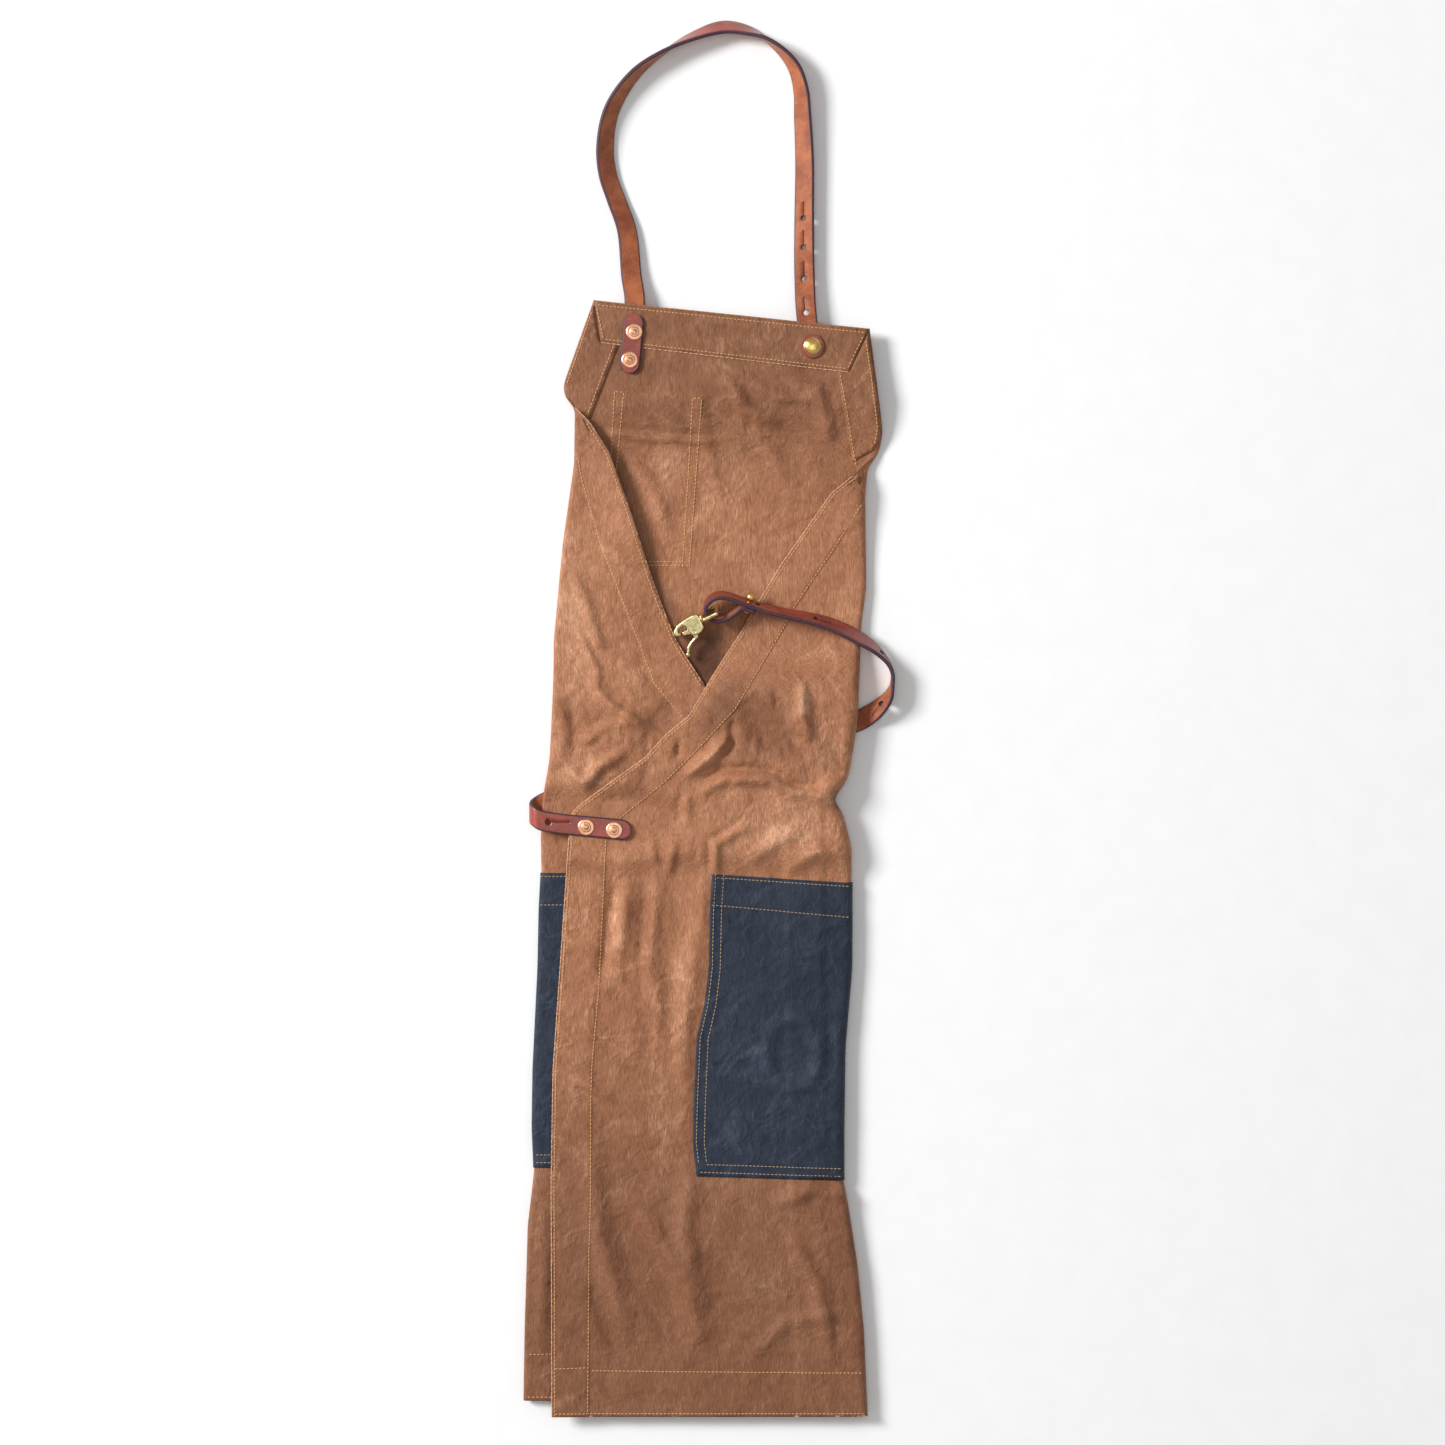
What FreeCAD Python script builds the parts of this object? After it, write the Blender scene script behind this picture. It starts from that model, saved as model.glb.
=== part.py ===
# A butcher apron of waxed canvas with leather straps, folded and lying on its front.
# Units are millimetres. X runs across the bib, Y from hem to neck, Z up from the table.
import FreeCAD
import Part
import Sketcher
import math
import os
from FreeCAD import Placement, Rotation
from FreeCAD import Vector as V

doc = FreeCAD.newDocument("ButcherApron")

# ---------------------------------------------------------------- driving sizes
SIZES = {
    "canvas": 0.8,
    "reach": 800.0,
    "strap_width": 15.9,
    "strap_thick": 3.1,
    "tab_thick": 2.4,
    "hole_radius": 1.8,
    "table_gap": 0.05,
    # stations of the cloth's drape along Y, and the front panel's height at each
    "hem_y": -560.0,
    "skirt_y": -125.0,
    "waist_low_y": -100.0,
    "waist_high_y": 14.0,
    "bib_low_y": 60.0,
    "bib_rise_y": 200.0,
    "bib_top_y": 252.0,
    "edge_y": 340.0,
    "flat_height": 0.8,
    "waist_height": 3.3,
    "bib_height": 10.8,
    "ring_bump": 4.4,
    # rivets and studs
    "rivet_pitch": 22.0,
    "rivet_post": 1.5,
    "rivet_head": 4.75,
    "rivet_head_thick": 0.7,
    "burr_radius": 6.35,
    "burr_thick": 1.1,
    "stud_ball": 3.7,
    "stud_neck": 1.6,
    "stud_base": 6.7,
    "stud_base_thick": 3.4,
    "washer_radius": 9.2,
    "washer_thick": 2.0,
    "tail_base": 3.8,
    "tail_base_thick": 1.6,
    # snap hook and waist ring
    "eye_wire": 1.3,
    "eye_inside": 16.9,
    "eye_reach": 12.4,
    "stem_radius": 2.2,
    "stem_length": 5.8,
    "stem_play": 0.25,
    "hook_start": 14.5,
    "hook_thick": 6.6,
    "slot_thick": 3.2,
    "gate_thick": 2.4,
    "pin_radius": 0.9,
    "pin_play": 0.1,
    "lever_wire": 1.2,
    "lever_ball": 2.1,
    "ring_wire": 1.5,
    "ring_inside": 17.0,
    "ring_reach": 12.0,
    "tab_eye": 2.5,
    "tab_end": 9.0,
    "ring_play": 0.1,
}

sheet = doc.addObject("Spreadsheet::Sheet", "Sizes")
for row, (alias, value) in enumerate(SIZES.items(), start=1):
    sheet.set("A%d" % row, alias)
    sheet.set("B%d" % row, str(value))
    sheet.setAlias("B%d" % row, alias)
doc.recompute()


def size(alias):
    return float(sheet.get(alias))


canvas = size("canvas")
strap_width = size("strap_width")
strap_thick = size("strap_thick")
UP = V(0, 0, 1)

# The drape: (station along Y, height of the front panel's underside, lift over the hidden ring)
DRAPE = [
    ("hem_y", "flat_height", 0),
    ("skirt_y", "flat_height", 0),
    ("waist_low_y", "waist_height", 1),
    ("waist_high_y", "waist_height", 1),
    ("bib_low_y", "flat_height", 0),
    ("bib_rise_y", "flat_height", 0),
    ("bib_top_y", "bib_height", 0),
    ("edge_y", "bib_height", 0),
]

# ---------------------------------------------------------------- helpers
parts = {}


def register(name, obj):
    """Keeps obj as the sub-part called name."""
    obj.Label = name
    parts[name] = obj
    return obj


def origin_plane(body, role):
    return next(f for f in body.Origin.OriginFeatures if f.Role == role)


def new_body(name):
    body = doc.addObject("PartDesign::Body", name)
    body.AllowCompound = True
    return body


def new_sketch(body, name, role):
    sketch = body.newObject("Sketcher::SketchObject", name)
    sketch.AttachmentSupport = [(origin_plane(body, role), "")]
    sketch.MapMode = "FlatFace"
    return sketch


def add_polygon(sketch, points):
    """Adds a closed polygon to sketch and returns the number of its first line."""
    first = sketch.GeometryCount
    count = len(points)
    for i in range(count):
        start = V(*points[i], 0)
        end = V(*points[(i + 1) % count], 0)
        sketch.addGeometry(Part.LineSegment(start, end), False)
    for i in range(count):
        joint = Sketcher.Constraint("Coincident", first + i, 2, first + (i + 1) % count, 1)
        sketch.addConstraint(joint)
    return first


def bind_point(sketch, line, expressions, point):
    """Ties the start of a sketch line to two expressions over the sheet."""
    for kind, expression, value in zip(("DistanceX", "DistanceY"), expressions, point):
        number = sketch.addConstraint(Sketcher.Constraint(kind, -1, 1, line, 1, value))
        sketch.setExpression("Constraints[%d]" % number, expression)


def draped(name, outline, low, high):
    """A cloth layer of the folded apron: the solid between two heights over the drape, inside outline.

    low and high are (layers, bump): so many canvas thicknesses above the front panel's
    underside, with bump 1 where the layer is lifted over the hidden ring.
    """
    body = new_body(name)
    profile = new_sketch(body, name + "_profile", "YZ_Plane")
    points = []
    expressions = []
    for layers, bump, stations in ((*low, DRAPE), (*high, DRAPE[::-1])):
        for y, height, lifted in stations:
            value = size(height) + layers * canvas + bump * lifted * size("ring_bump")
            terms = "Sizes.%s + %g * Sizes.canvas + %g * Sizes.ring_bump"
            points.append((size(y), value))
            expressions.append(("Sizes." + y, terms % (height, layers, bump * lifted)))
    first = add_polygon(profile, points)
    for i, (point, expression) in enumerate(zip(points, expressions)):
        bind_point(profile, first + i, expression, point)
    doc.recompute()
    pad = body.newObject("PartDesign::Pad", name + "_layer")
    pad.Profile = profile
    pad.SideType = "Symmetric"
    pad.setExpression("Length", "Sizes.reach")
    doc.recompute()
    whole = pad.Shape.Volume
    cut = new_sketch(body, name + "_outline", "XY_Plane")
    far = size("reach")
    add_polygon(cut, [(-far, -far), (far, -far), (far, far), (-far, far)])
    add_polygon(cut, outline)
    doc.recompute()
    trim = body.newObject("PartDesign::Pocket", name + "_trim")
    trim.Profile = cut
    trim.Type = "ThroughAll"
    trim.SideType = "Symmetric"
    doc.recompute()
    if not 0 < trim.Shape.Volume < whole:
        raise ValueError(name + " was not trimmed")
    return body


def fused(name, pieces):
    """The pieces as one object; a single piece stays as it is."""
    if len(pieces) == 1:
        return pieces[0]
    fuse = doc.addObject("Part::MultiFuse", name)
    fuse.Shapes = pieces
    return fuse


def united(name, pieces):
    """One sub-part made of pieces that meet face to face."""
    return register(name, fused(name, pieces))


def beside(line, distance):
    """The points of line moved sideways by distance, to the left of its heading."""
    moved = []
    for i, (x, y) in enumerate(line):
        x0, y0 = line[max(i - 1, 0)]
        x1, y1 = line[min(i + 1, len(line) - 1)]
        run = math.hypot(x1 - x0, y1 - y0)
        moved.append((x - distance * (y1 - y0) / run, y + distance * (x1 - x0) / run))
    return moved


def ribbon(line, start, end):
    """Outline of a ribbon along line, between the distances start and end to its left."""
    return beside(line, start) + beside(line, end)[::-1]


def turned(name, profile, pitch=None):
    """A body turned about its Z axis from a profile of (radius, height) points.

    With pitch, a sheet alias, it is a pair at that distance along the body's X axis.
    """
    body = new_body(name)
    sketch = new_sketch(body, name + "_profile", "XZ_Plane")
    add_polygon(sketch, profile)
    doc.recompute()
    turn = body.newObject("PartDesign::Revolution", name + "_turn")
    turn.Profile = sketch
    turn.ReferenceAxis = (sketch, ["V_Axis"])
    turn.Angle = 360
    doc.recompute()
    if pitch:
        pair = body.newObject("PartDesign::LinearPattern", name + "_pair")
        pair.Originals = [turn]
        pair.Direction = (sketch, ["H_Axis"])
        pair.setExpression("Length", "Sizes." + pitch)
        pair.Occurrences = 2
        body.Tip = pair
    return register(name, body)


def dome(radius, height, steps, base=0.0):
    """Profile points of a dome from its rim up to its crown on the axis."""
    points = []
    for i in range(steps + 1):
        angle = math.pi / 2 * i / steps
        points.append((radius * math.cos(angle), base + height * math.sin(angle)))
    points[-1] = (0.0, base + height)
    return points


def headings(points):
    """Unit tangents of a route through points."""
    found = []
    for i in range(len(points)):
        found.append((points[min(i + 1, len(points) - 1)] - points[max(i - 1, 0)]).normalize())
    return found


def strap_solid(name, stations):
    """A leather strap through stations of (centre, direction across its width)."""
    centres = [V(*centre) for centre, _ in stations]
    sections = []
    for i, (centre, tangent) in enumerate(zip(centres, headings(centres))):
        across = V(*stations[i][1]).normalize()
        tangent = (tangent - across * across.dot(tangent)).normalize()
        section = doc.addObject("Part::Plane", "%s_section_%d" % (name, i))
        section.setExpression("Length", "Sizes.strap_width")
        section.setExpression("Width", "Sizes.strap_thick")
        turn = Rotation(across, tangent.cross(across), tangent, "ZXY")
        corner = turn.multVec(V(-strap_width / 2, -strap_thick / 2, 0))
        section.Placement = Placement(centre + corner, turn)
        sections.append(section)
    strap = doc.addObject("Part::Loft", name)
    strap.Sections = sections
    strap.Solid = True
    strap.Ruled = True
    return strap


def leaning(points, leans):
    """Stations of a strap that leans: at 0 degrees it lies flat, at 90 it stands on edge.

    The raised edge is the one to the left of the heading, seen from above.
    """
    centres = [V(*point) for point in points]
    stations = []
    for centre, tangent, lean in zip(centres, headings(centres), leans):
        left = UP.cross(tangent).normalize()
        angle = math.radians(lean)
        across = left * math.cos(angle) + UP * math.sin(angle)
        stations.append(((centre.x, centre.y, centre.z), (across.x, across.y, across.z)))
    return stations


def punched(name, strap, holes):
    """strap with round holes of the sheet's radius, each given as (centre, direction)."""
    tools = []
    for i, (centre, direction) in enumerate(holes):
        hole = doc.addObject("Part::Cylinder", "%s_hole_%d" % (name, i))
        hole.setExpression("Radius", "Sizes.hole_radius")
        hole.setExpression("Height", "4 * Sizes.strap_thick")
        turn = Rotation(UP, V(*direction))
        start = V(*centre) - V(*direction).normalize() * 2 * strap_thick
        hole.Placement = Placement(start, turn)
        tools.append(hole)
    cut = doc.addObject("Part::Cut", name)
    cut.Base = strap
    cut.Tool = fused(name + "_holes", tools)
    return register(name, cut)


# ---------------------------------------------------------------- canvas outlines
LEFT_FOLD = [
    (-104, 241), (-105, 198), (-114, 136), (-121, 60), (-124, -33), (-131, -92),
    (-133, -195), (-138, -300), (-136, -350), (-142, -400), (-145, -533),
]
RIGHT_FOLD = [
    (126, 198), (122, 170), (122, 102), (115, -3), (107, -49), (98, -63),
    (110, -101), (110, -195), (104, -300), (104, -360), (115, -427), (123, -544.5),
]
BIB_TOP_LEFT = (-90, 325.5)
BIB_TOP_RIGHT = (125, 303)
BIB_LEFT = [(-114, 259), (-112.7, 250)]
BIB_RIGHT = [(129, 270), (135, 223), (133, 209)]
LEFT_FREE_EDGE = [(-104, 241), (-78.5, 207), (-46, 112), (-26.6, 61), (-4, 26), (88, -64)]
LEFT_BACK_EDGE = [(88, -64), (90, -300), (98, -533)]
RIGHT_FREE_EDGE = [(133, 209), (111, 188), (95, 175), (56, 119), (2, 32), (-50, -31), (-102, -68.5)]
RIGHT_BACK_EDGE = [(-102, -68.5), (-111, -121), (-122, -274), (-123, -400), (-122.6, -544.5)]
HEM_WIDTH = 36.0

# Rivets and studs: (x, y) of each, in pairs where a strap end has two
NECK_RIVETS = [(-61.9, 278.5), (-58.4, 300.2)]
NECK_STUD = (80.3, 289.2)
WAIST_RIVETS = [(-95.9, -85.1), (-74.0, -87.4)]
RING_RIVETS = [(56.0, -85.0), (78.0, -85.0)]


# ---------------------------------------------------------------- canvas
def pierced(name, solid, places):
    """solid with an upright hole at each place, where a rivet or stud goes through."""
    tools = []
    for i, (x, y) in enumerate(places):
        hole = doc.addObject("Part::Cylinder", "%s_eyelet_%d" % (name, i))
        hole.setExpression("Radius", "Sizes.hole_radius")
        hole.Height = 40
        hole.Placement = Placement(V(x, y, -5), Rotation())
        tools.append(hole)
    cut = doc.addObject("Part::Cut", name)
    cut.Base = solid
    cut.Tool = fused(name + "_eyelets", tools)
    return register(name, cut)


def along(fold, top, bottom):
    """The stretch of a fold line between the heights top and bottom of the page."""
    def point(y):
        for (x0, y0), (x1, y1) in zip(fold, fold[1:]):
            if y1 <= y <= y0:
                return (x0 + (y - y0) / (y1 - y0) * (x1 - x0), y)
        raise ValueError("the fold doesn't reach y = %g" % y)
    return [point(top)] + [p for p in fold if bottom < p[1] < top] + [point(bottom)]


def make_front_panel():
    outline = [BIB_TOP_LEFT, BIB_TOP_RIGHT] + BIB_RIGHT + RIGHT_FOLD
    outline += LEFT_FOLD[::-1] + BIB_LEFT[::-1]
    panel = draped("front_panel_sheet", outline, (0, 0), (1, 0))
    pierced("front_panel", panel, NECK_RIVETS + [NECK_STUD])


def make_wings():
    outline = LEFT_FREE_EDGE + LEFT_BACK_EDGE[1:] + LEFT_FOLD[:0:-1]
    plate = draped("left_wing_plate", outline, (3, 0), (4, 0))
    side = draped("left_wing_side", ribbon(LEFT_FOLD, 0, canvas), (1, 0), (3, 0))
    pierced("left_wing", fused("left_wing_sheet", [plate, side]), RING_RIVETS)
    outline = RIGHT_FREE_EDGE + RIGHT_BACK_EDGE[1:] + RIGHT_FOLD[::-1]
    plate = draped("right_wing_plate", outline, (6, 1), (7, 1))
    side = draped("right_wing_side", ribbon(RIGHT_FOLD, -canvas, 0), (1, 0), (6, 1))
    pierced("right_wing", fused("right_wing_sheet", [plate, side]), WAIST_RIVETS)


def make_bib_facings():
    """The band along the bib's top and the two side facings, which meet it in mitres."""
    band = [(-89.5, 324.5), (124, 302.6), (108.7, 269), (-84.8, 292.3)]
    pierced("top_facing", draped("top_facing_sheet", band, (1, 0), (2, 0)),
            [NECK_RIVETS[1], NECK_STUD])
    left = [(-90.5, 321), (-85.8, 292), (-70.6, 290.4), (-93, 233), (-102, 241), (-112, 251),
            (-113, 259)]
    register("left_facing", draped("left_facing", left, (1, 0), (2, 0)))
    right = [(124.2, 299), (109.6, 268.6), (98.7, 269), (111.7, 200), (130, 210), (133.5, 223),
             (128, 269.5)]
    register("right_facing", draped("right_facing", right, (1, 0), (2, 0)))


def make_wing_facings():
    """The facings that run on from the bib under the free edges of the wings."""
    line = LEFT_FREE_EDGE + LEFT_BACK_EDGE[1:]
    line[0] = (-101.5, 237)
    outline = line + [(69, -533), (61, -300), (59, -76), (-24.8, 4.9), (-60.6, 72.9), (-98, 203)]
    pierced("left_wing_facing", draped("left_wing_facing_sheet", outline, (2, 0), (3, 0)),
            RING_RIVETS)
    line = RIGHT_FREE_EDGE + RIGHT_BACK_EDGE[1:]
    line[0] = (123.8, 200)
    outline = line + [(-94.8, -544.5), (-92, -300), (-84, -165), (-81, -97), (-6.9, -22),
                      (66.5, 87.2), (117, 166)]
    pierced("right_wing_facing", draped("right_wing_facing_sheet", outline, (5, 1), (6, 1)),
            WAIST_RIVETS)


def make_hem_facing():
    """The bottom hem, one turned strip that runs round both folds."""
    top = -544.5 + HEM_WIDTH
    left_side = [(-143.2, -533), (-143.2, top)]
    right_side = [(119.2, top), (121.5, -543.5)]
    front = draped("hem_front", left_side + right_side, (1, 0), (2, 0))
    left = draped("hem_left", left_side + [(67, top), (67, -533)], (2, 0), (3, 0))
    right = draped("hem_right", [(-93.5, -544), (-93.5, top)] + right_side, (5, 1), (6, 1))
    corner = draped("hem_corner", ribbon(right_side, -1.5, 0), (2, 0), (5, 1))
    united("hem_facing", [front, left, right, corner])


def make_leg_pocket(name, fold, inner_wing, inner_front, levels, outward):
    """A pocket that wraps round a fold: on the front below, and on the wing's outer face above."""
    edge = along(fold, *levels[:2])
    wing = draped(name + "_on_wing", edge + inner_wing, *levels[2])
    front = draped(name + "_on_front", edge + inner_front, (-1, 0), (0, 0))
    wall = draped(name + "_side", ribbon(edge, 0, outward * canvas), (-1, 0), levels[2][1])
    united(name, [wing, front, wall])


def make_pockets():
    inner_wing = [(-22, -351), (-18, -121)]
    inner_front = [(-28, -351), (-25, -121)]
    levels = (-121, -351, ((4, 0), (5, 0)))
    make_leg_pocket("left_leg_pocket", LEFT_FOLD, inner_wing, inner_front, levels, -1)
    inner_wing = [(-10, -357), (-13, -330), (-12, -299), (-10, -249), (-3.7, -222), (-0.5, -195),
                  (0.5, -149), (2.2, -122)]
    inner_front = [(-8, -357), (-2, -122)]
    levels = (-128, -360, ((7, 1), (8, 1)))
    make_leg_pocket("right_leg_pocket", RIGHT_FOLD, inner_wing, inner_front, levels, 1)
    outline = [(-74.5, 255), (-5, 249), (-15, 116.5), (-84, 122)]
    register("chest_pocket", draped("chest_pocket", outline, (-1, 0), (0, 0)))


# ---------------------------------------------------------------- neck strap and its fittings
BIB_UNDER = size("bib_height")
BIB_TOP = BIB_UNDER + 2 * canvas
NECK_STRAP_MIDDLE = BIB_UNDER - strap_thick / 2


def resting(lean):
    """Height of a strap's middle when it leans and its lower edge rests on the table."""
    angle = math.radians(lean)
    return (strap_width * math.sin(angle) + strap_thick * abs(math.cos(angle))) / 2 \
        + size("table_gap")


def make_neck_strap():
    """The riveted end, the free loop and the buttoned end; the loop swings up at the bib's edge."""
    fixed = leaning([(-62.3, 262, NECK_STRAP_MIDDLE), (-58.5, 323.4, NECK_STRAP_MIDDLE)], [0, 0])
    pierced("neck_strap_fixed_end", strap_solid("neck_strap_fixed", fixed), NECK_RIVETS)
    button = leaning([(76.5, 307.4, NECK_STRAP_MIDDLE), (84.9, 266, NECK_STRAP_MIDDLE)], [0, 0])
    pierced("neck_strap_button_end", strap_solid("neck_strap_button", button), [NECK_STUD])
    route = [
        (-58.3, 325.6, 0), (-61, 345, 10), (-64.6, 381, 22), (-73, 405, 28), (-79.4, 424, 32),
        (-81.5, 445, 38), (-76.4, 474, 50), (-59, 501, 70), (-38, 518, 92), (-14, 531, 118),
        (11, 538.8, 133), (30, 536, 122), (44, 529.5, 95), (58, 518, 76), (66.7, 506, 62),
        (71.5, 489, 50), (72.7, 470, 40), (74.3, 434.5, 30), (74, 390, 22), (74.2, 345, 10),
        (75.9, 311.6, 0),
    ]
    points = [(x, y, resting(lean)) for x, y, lean in route]
    for end in (0, -1):
        points[end] = (*points[end][:2], NECK_STRAP_MIDDLE)
    for near_end, share in ((1, 0.6), (2, 0.25), (-2, 0.6), (-3, 0.25)):
        x, y, z = points[near_end]
        points[near_end] = (x, y, z + share * (NECK_STRAP_MIDDLE - z))
    loop = strap_solid("neck_strap_free", leaning(points, [lean for _, _, lean in route]))
    holes = [((74, 390.3, 6), (0.35, 0, 1)), ((74, 367.9, 6), (0.25, 0, 1)),
             ((74.2, 344, 7), (0.15, 0, 1))]
    punched("neck_strap_loop", loop, holes)


def rivet_profile(grip):
    """Copper rivet: a flat head under the stack and a peened end over the burr."""
    head = size("rivet_head")
    post = size("rivet_post")
    top = grip + size("burr_thick")
    return [(0, -size("rivet_head_thick")), (head, -size("rivet_head_thick")), (head, 0), (post, 0),
            (post, top), (post + 0.9, top + 0.05), (post + 0.6, top + 0.55), (0.7, top + 0.85),
            (0, top + 0.9)]


def burr_profile():
    """Copper burr: a washer that is pressed into a shallow cone by the rivet's peening."""
    inner = size("rivet_post") + 0.05
    rim = size("burr_radius")
    thick = size("burr_thick")
    return [(inner, 0), (rim, 0), (rim, 0.45 * thick), (rim - 0.6, 0.7 * thick),
            (inner + 2.4, 0.75 * thick), (inner + 1.6, thick), (inner, thick)]


def rivet_pair(names, places, under, grip):
    """Two rivets and two burrs that clamp a stack whose underside is at height under."""
    (x0, y0), (x1, y1) = places
    turn = Rotation(UP, math.degrees(math.atan2(y1 - y0, x1 - x0)))
    rivets = turned(names[0], rivet_profile(grip), "rivet_pitch")
    rivets.Placement = Placement(V(x0, y0, under), turn)
    if len(names) > 1:
        burrs = turned(names[1], burr_profile(), "rivet_pitch")
        burrs.Placement = Placement(V(x0, y0, under + grip), turn)


def make_neck_fittings():
    tab = leaning([(-62.6, 268.2, 0), (-58.2, 314.7, 0)], [0, 0])
    tab_solid = doc.addObject("Part::Box", "neck_tab_blank")
    tab_solid.setExpression("Length", "Sizes.strap_width")
    tab_solid.Width = (V(*tab[1][0]) - V(*tab[0][0])).Length
    tab_solid.setExpression("Height", "Sizes.tab_thick")
    turn = Rotation(UP, math.degrees(math.atan2(46.5, 4.4)) - 90)
    corner = V(*tab[0][0]) + turn.multVec(V(-strap_width / 2, 0, BIB_TOP))
    tab_solid.Placement = Placement(corner, turn)
    pierced("neck_rivet_tab", tab_solid, NECK_RIVETS)
    grip = strap_thick + 2 * canvas + size("tab_thick")
    rivet_pair(["neck_rivets", "neck_rivet_burrs"], NECK_RIVETS, BIB_UNDER - strap_thick, grip)
    washer_top = BIB_TOP + size("washer_thick")
    ball = size("stud_ball")
    neck = size("stud_neck")
    join = math.asin(neck / ball)
    around = [(ball * math.sin(math.pi * i / 16), ball - ball * math.cos(math.pi * i / 16))
              for i in range(1, 16) if math.pi * i / 16 < math.pi - join]
    stud = turned("neck_stud", [(0, 0)] + around + [(neck, ball * (1 + math.cos(join))),
                                                    (neck, washer_top), (0, washer_top)])
    stud.Placement = Placement(V(*NECK_STUD, 0), Rotation())
    base_radius = size("stud_base")
    rim = [(0, 0), (base_radius, 0), (base_radius, 0.7)]
    base = turned("neck_stud_base", rim + dome(base_radius - 0.5, size("stud_base_thick") - 1.0,
                                               6, 1.0))
    base.Placement = Placement(V(*NECK_STUD, washer_top), Rotation())
    washer = size("washer_radius")
    inner = size("hole_radius")
    disc = [(inner, 0), (washer, 0), (washer, 1.4), (washer - 0.6, 2.0), (inner, 2.0)]
    leather = turned("neck_stud_washer", disc)
    leather.Placement = Placement(V(*NECK_STUD, BIB_TOP), Rotation())


# ---------------------------------------------------------------- waist strap and its fittings
RIGHT_WING_UNDER = size("waist_height") + 5 * canvas + size("ring_bump")
RIGHT_WING_TOP = RIGHT_WING_UNDER + 2 * canvas
TOP_RUN = RIGHT_WING_TOP + strap_thick / 2 + size("table_gap")
UNDER_RUN = strap_thick / 2 + size("table_gap")
FOLD_ACROSS = V(0, -0.34, 0.94).normalize()
STUD_PLACE = V(30.5, 88.8, 16.5)


def fold_height(y):
    """Height of the strap's middle in the plane of the folded-back end."""
    return STUD_PLACE.z - (y - STUD_PLACE.y) * FOLD_ACROSS.y / FOLD_ACROSS.z


def make_waist_strap():
    """Riveted end on the right wing, the wrap round the left fold, and the run under the apron."""
    south = (0, -1, 0)
    stations = [((-60.7, -87.7, TOP_RUN), south), ((-118, -82.2, TOP_RUN), south),
                ((-132.5, -79.5, TOP_RUN), south)]
    bend = (TOP_RUN - UNDER_RUN) / 2
    for step in range(1, 6):
        turn = math.pi * step / 6
        place = (-132.5 - bend * math.sin(turn), -79.5 + 12 * step / 6,
                 UNDER_RUN + bend * (1 + math.cos(turn)))
        stations.append((place, south))
    stations.append(((-132.5, -67.5, UNDER_RUN), south))
    run = [((-108, -58.9, UNDER_RUN), 180), ((104, -6.5, UNDER_RUN), 180),
           ((117.0, -2.2, UNDER_RUN), 180), ((125.0, 2.6, resting(160)), 160),
           ((132.6, 8.6, resting(138)), 138), ((139.2, 16.6, resting(115)), 115),
           ((142.3, 25.0, resting(93)), 93)]
    stations += leaning([place for place, _ in run], [lean for _, lean in run])
    strap = strap_solid("waist_strap_blank", stations)
    places = WAIST_RIVETS + [(-124.5, -81.0), (134.0, 10.9)]
    pierced("waist_strap", strap, places)


def make_tail():
    """The strap's free end: it lies back over the right wing and folds round the hook's eye."""
    route = [
        (142.7, 27.0, 8.1, 90), (142.9, 34, 8.4, 87), (139.9, 42, 9.4, 82), (133.2, 50, 11.4, 72),
        (126, 56, 13.9, 62), (118, 61, 15.2, 54), (107, 67, 15.2, 53), (92, 73.5, 15.2, 56),
        (75, 78, 15.3, 61), (60, 81, 15.7, 65), (46, 84.2, 16.0, 66),
    ]
    stations = leaning([point[:3] for point in route], [point[3] for point in route])
    fold = [
        (36, 87.2), (30.5, 88.8), (24, 91.2), (16, 94), (8, 95.2), (1.5, 93), (-2.6, 88), (-2.6, 82.6),
        (0.8, 78.6), (6, 77), (13, 78.4), (20, 82.6), (25.5, 86.7), (30.5, 85.2), (35.5, 83.6),
    ]
    across = tuple(FOLD_ACROSS)
    stations += [((x, y, fold_height(y)), across) for x, y in fold]
    blank = strap_solid("waist_strap_tail_blank", stations)
    heading = V(24 - 36, 91.2 - 87.2, 0)
    heading = (heading - FOLD_ACROSS * heading.dot(FOLD_ACROSS)).normalize()
    through_stud = heading.cross(FOLD_ACROSS)
    holes = [((131.8, 51.5, 11.1), (0.7, 0.7, 0.3)), ((83.4, 76.2, 14.8), (0.2, 0.8, 0.55)),
             (tuple(STUD_PLACE), tuple(through_stud))]
    punched("waist_strap_tail", blank, holes)
    grip_under = -1.5 * strap_thick - 1.0
    ball = size("stud_ball")
    neck = size("stud_neck")
    neck_top = strap_thick / 2 + 0.6
    join = math.asin(neck / ball)
    centre = neck_top + ball * math.cos(join)
    around = [(ball * math.sin(math.pi * i / 16), centre - ball * math.cos(math.pi * i / 16))
              for i in range(16) if math.pi * i / 16 > join]
    stud = turned("tail_stud", [(0, grip_under), (neck, grip_under), (neck, neck_top)] + around
                  + [(0, centre + ball)])
    turn = Rotation(UP, through_stud)
    stud.Placement = Placement(STUD_PLACE, turn)
    radius = size("tail_base")
    thick = size("tail_base_thick")
    base = turned("tail_stud_base", [(0, -thick), (radius - 1, -thick), (radius, -thick / 3),
                                     (radius, 0), (0, 0)])
    base.Placement = Placement(STUD_PLACE + through_stud * grip_under, turn)


def make_waist_fittings():
    grip = 2 * canvas + strap_thick + size("table_gap")
    rivet_pair(["waist_rivets", "waist_rivet_burrs"], WAIST_RIVETS, RIGHT_WING_UNDER, grip)
    left_under = size("waist_height") + 2 * canvas
    tab_under = left_under + 2 * canvas
    rivet_pair(["ring_rivets", "ring_rivet_burrs"], RING_RIVETS, left_under,
               2 * canvas + size("tab_thick"))
    return tab_under


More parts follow.
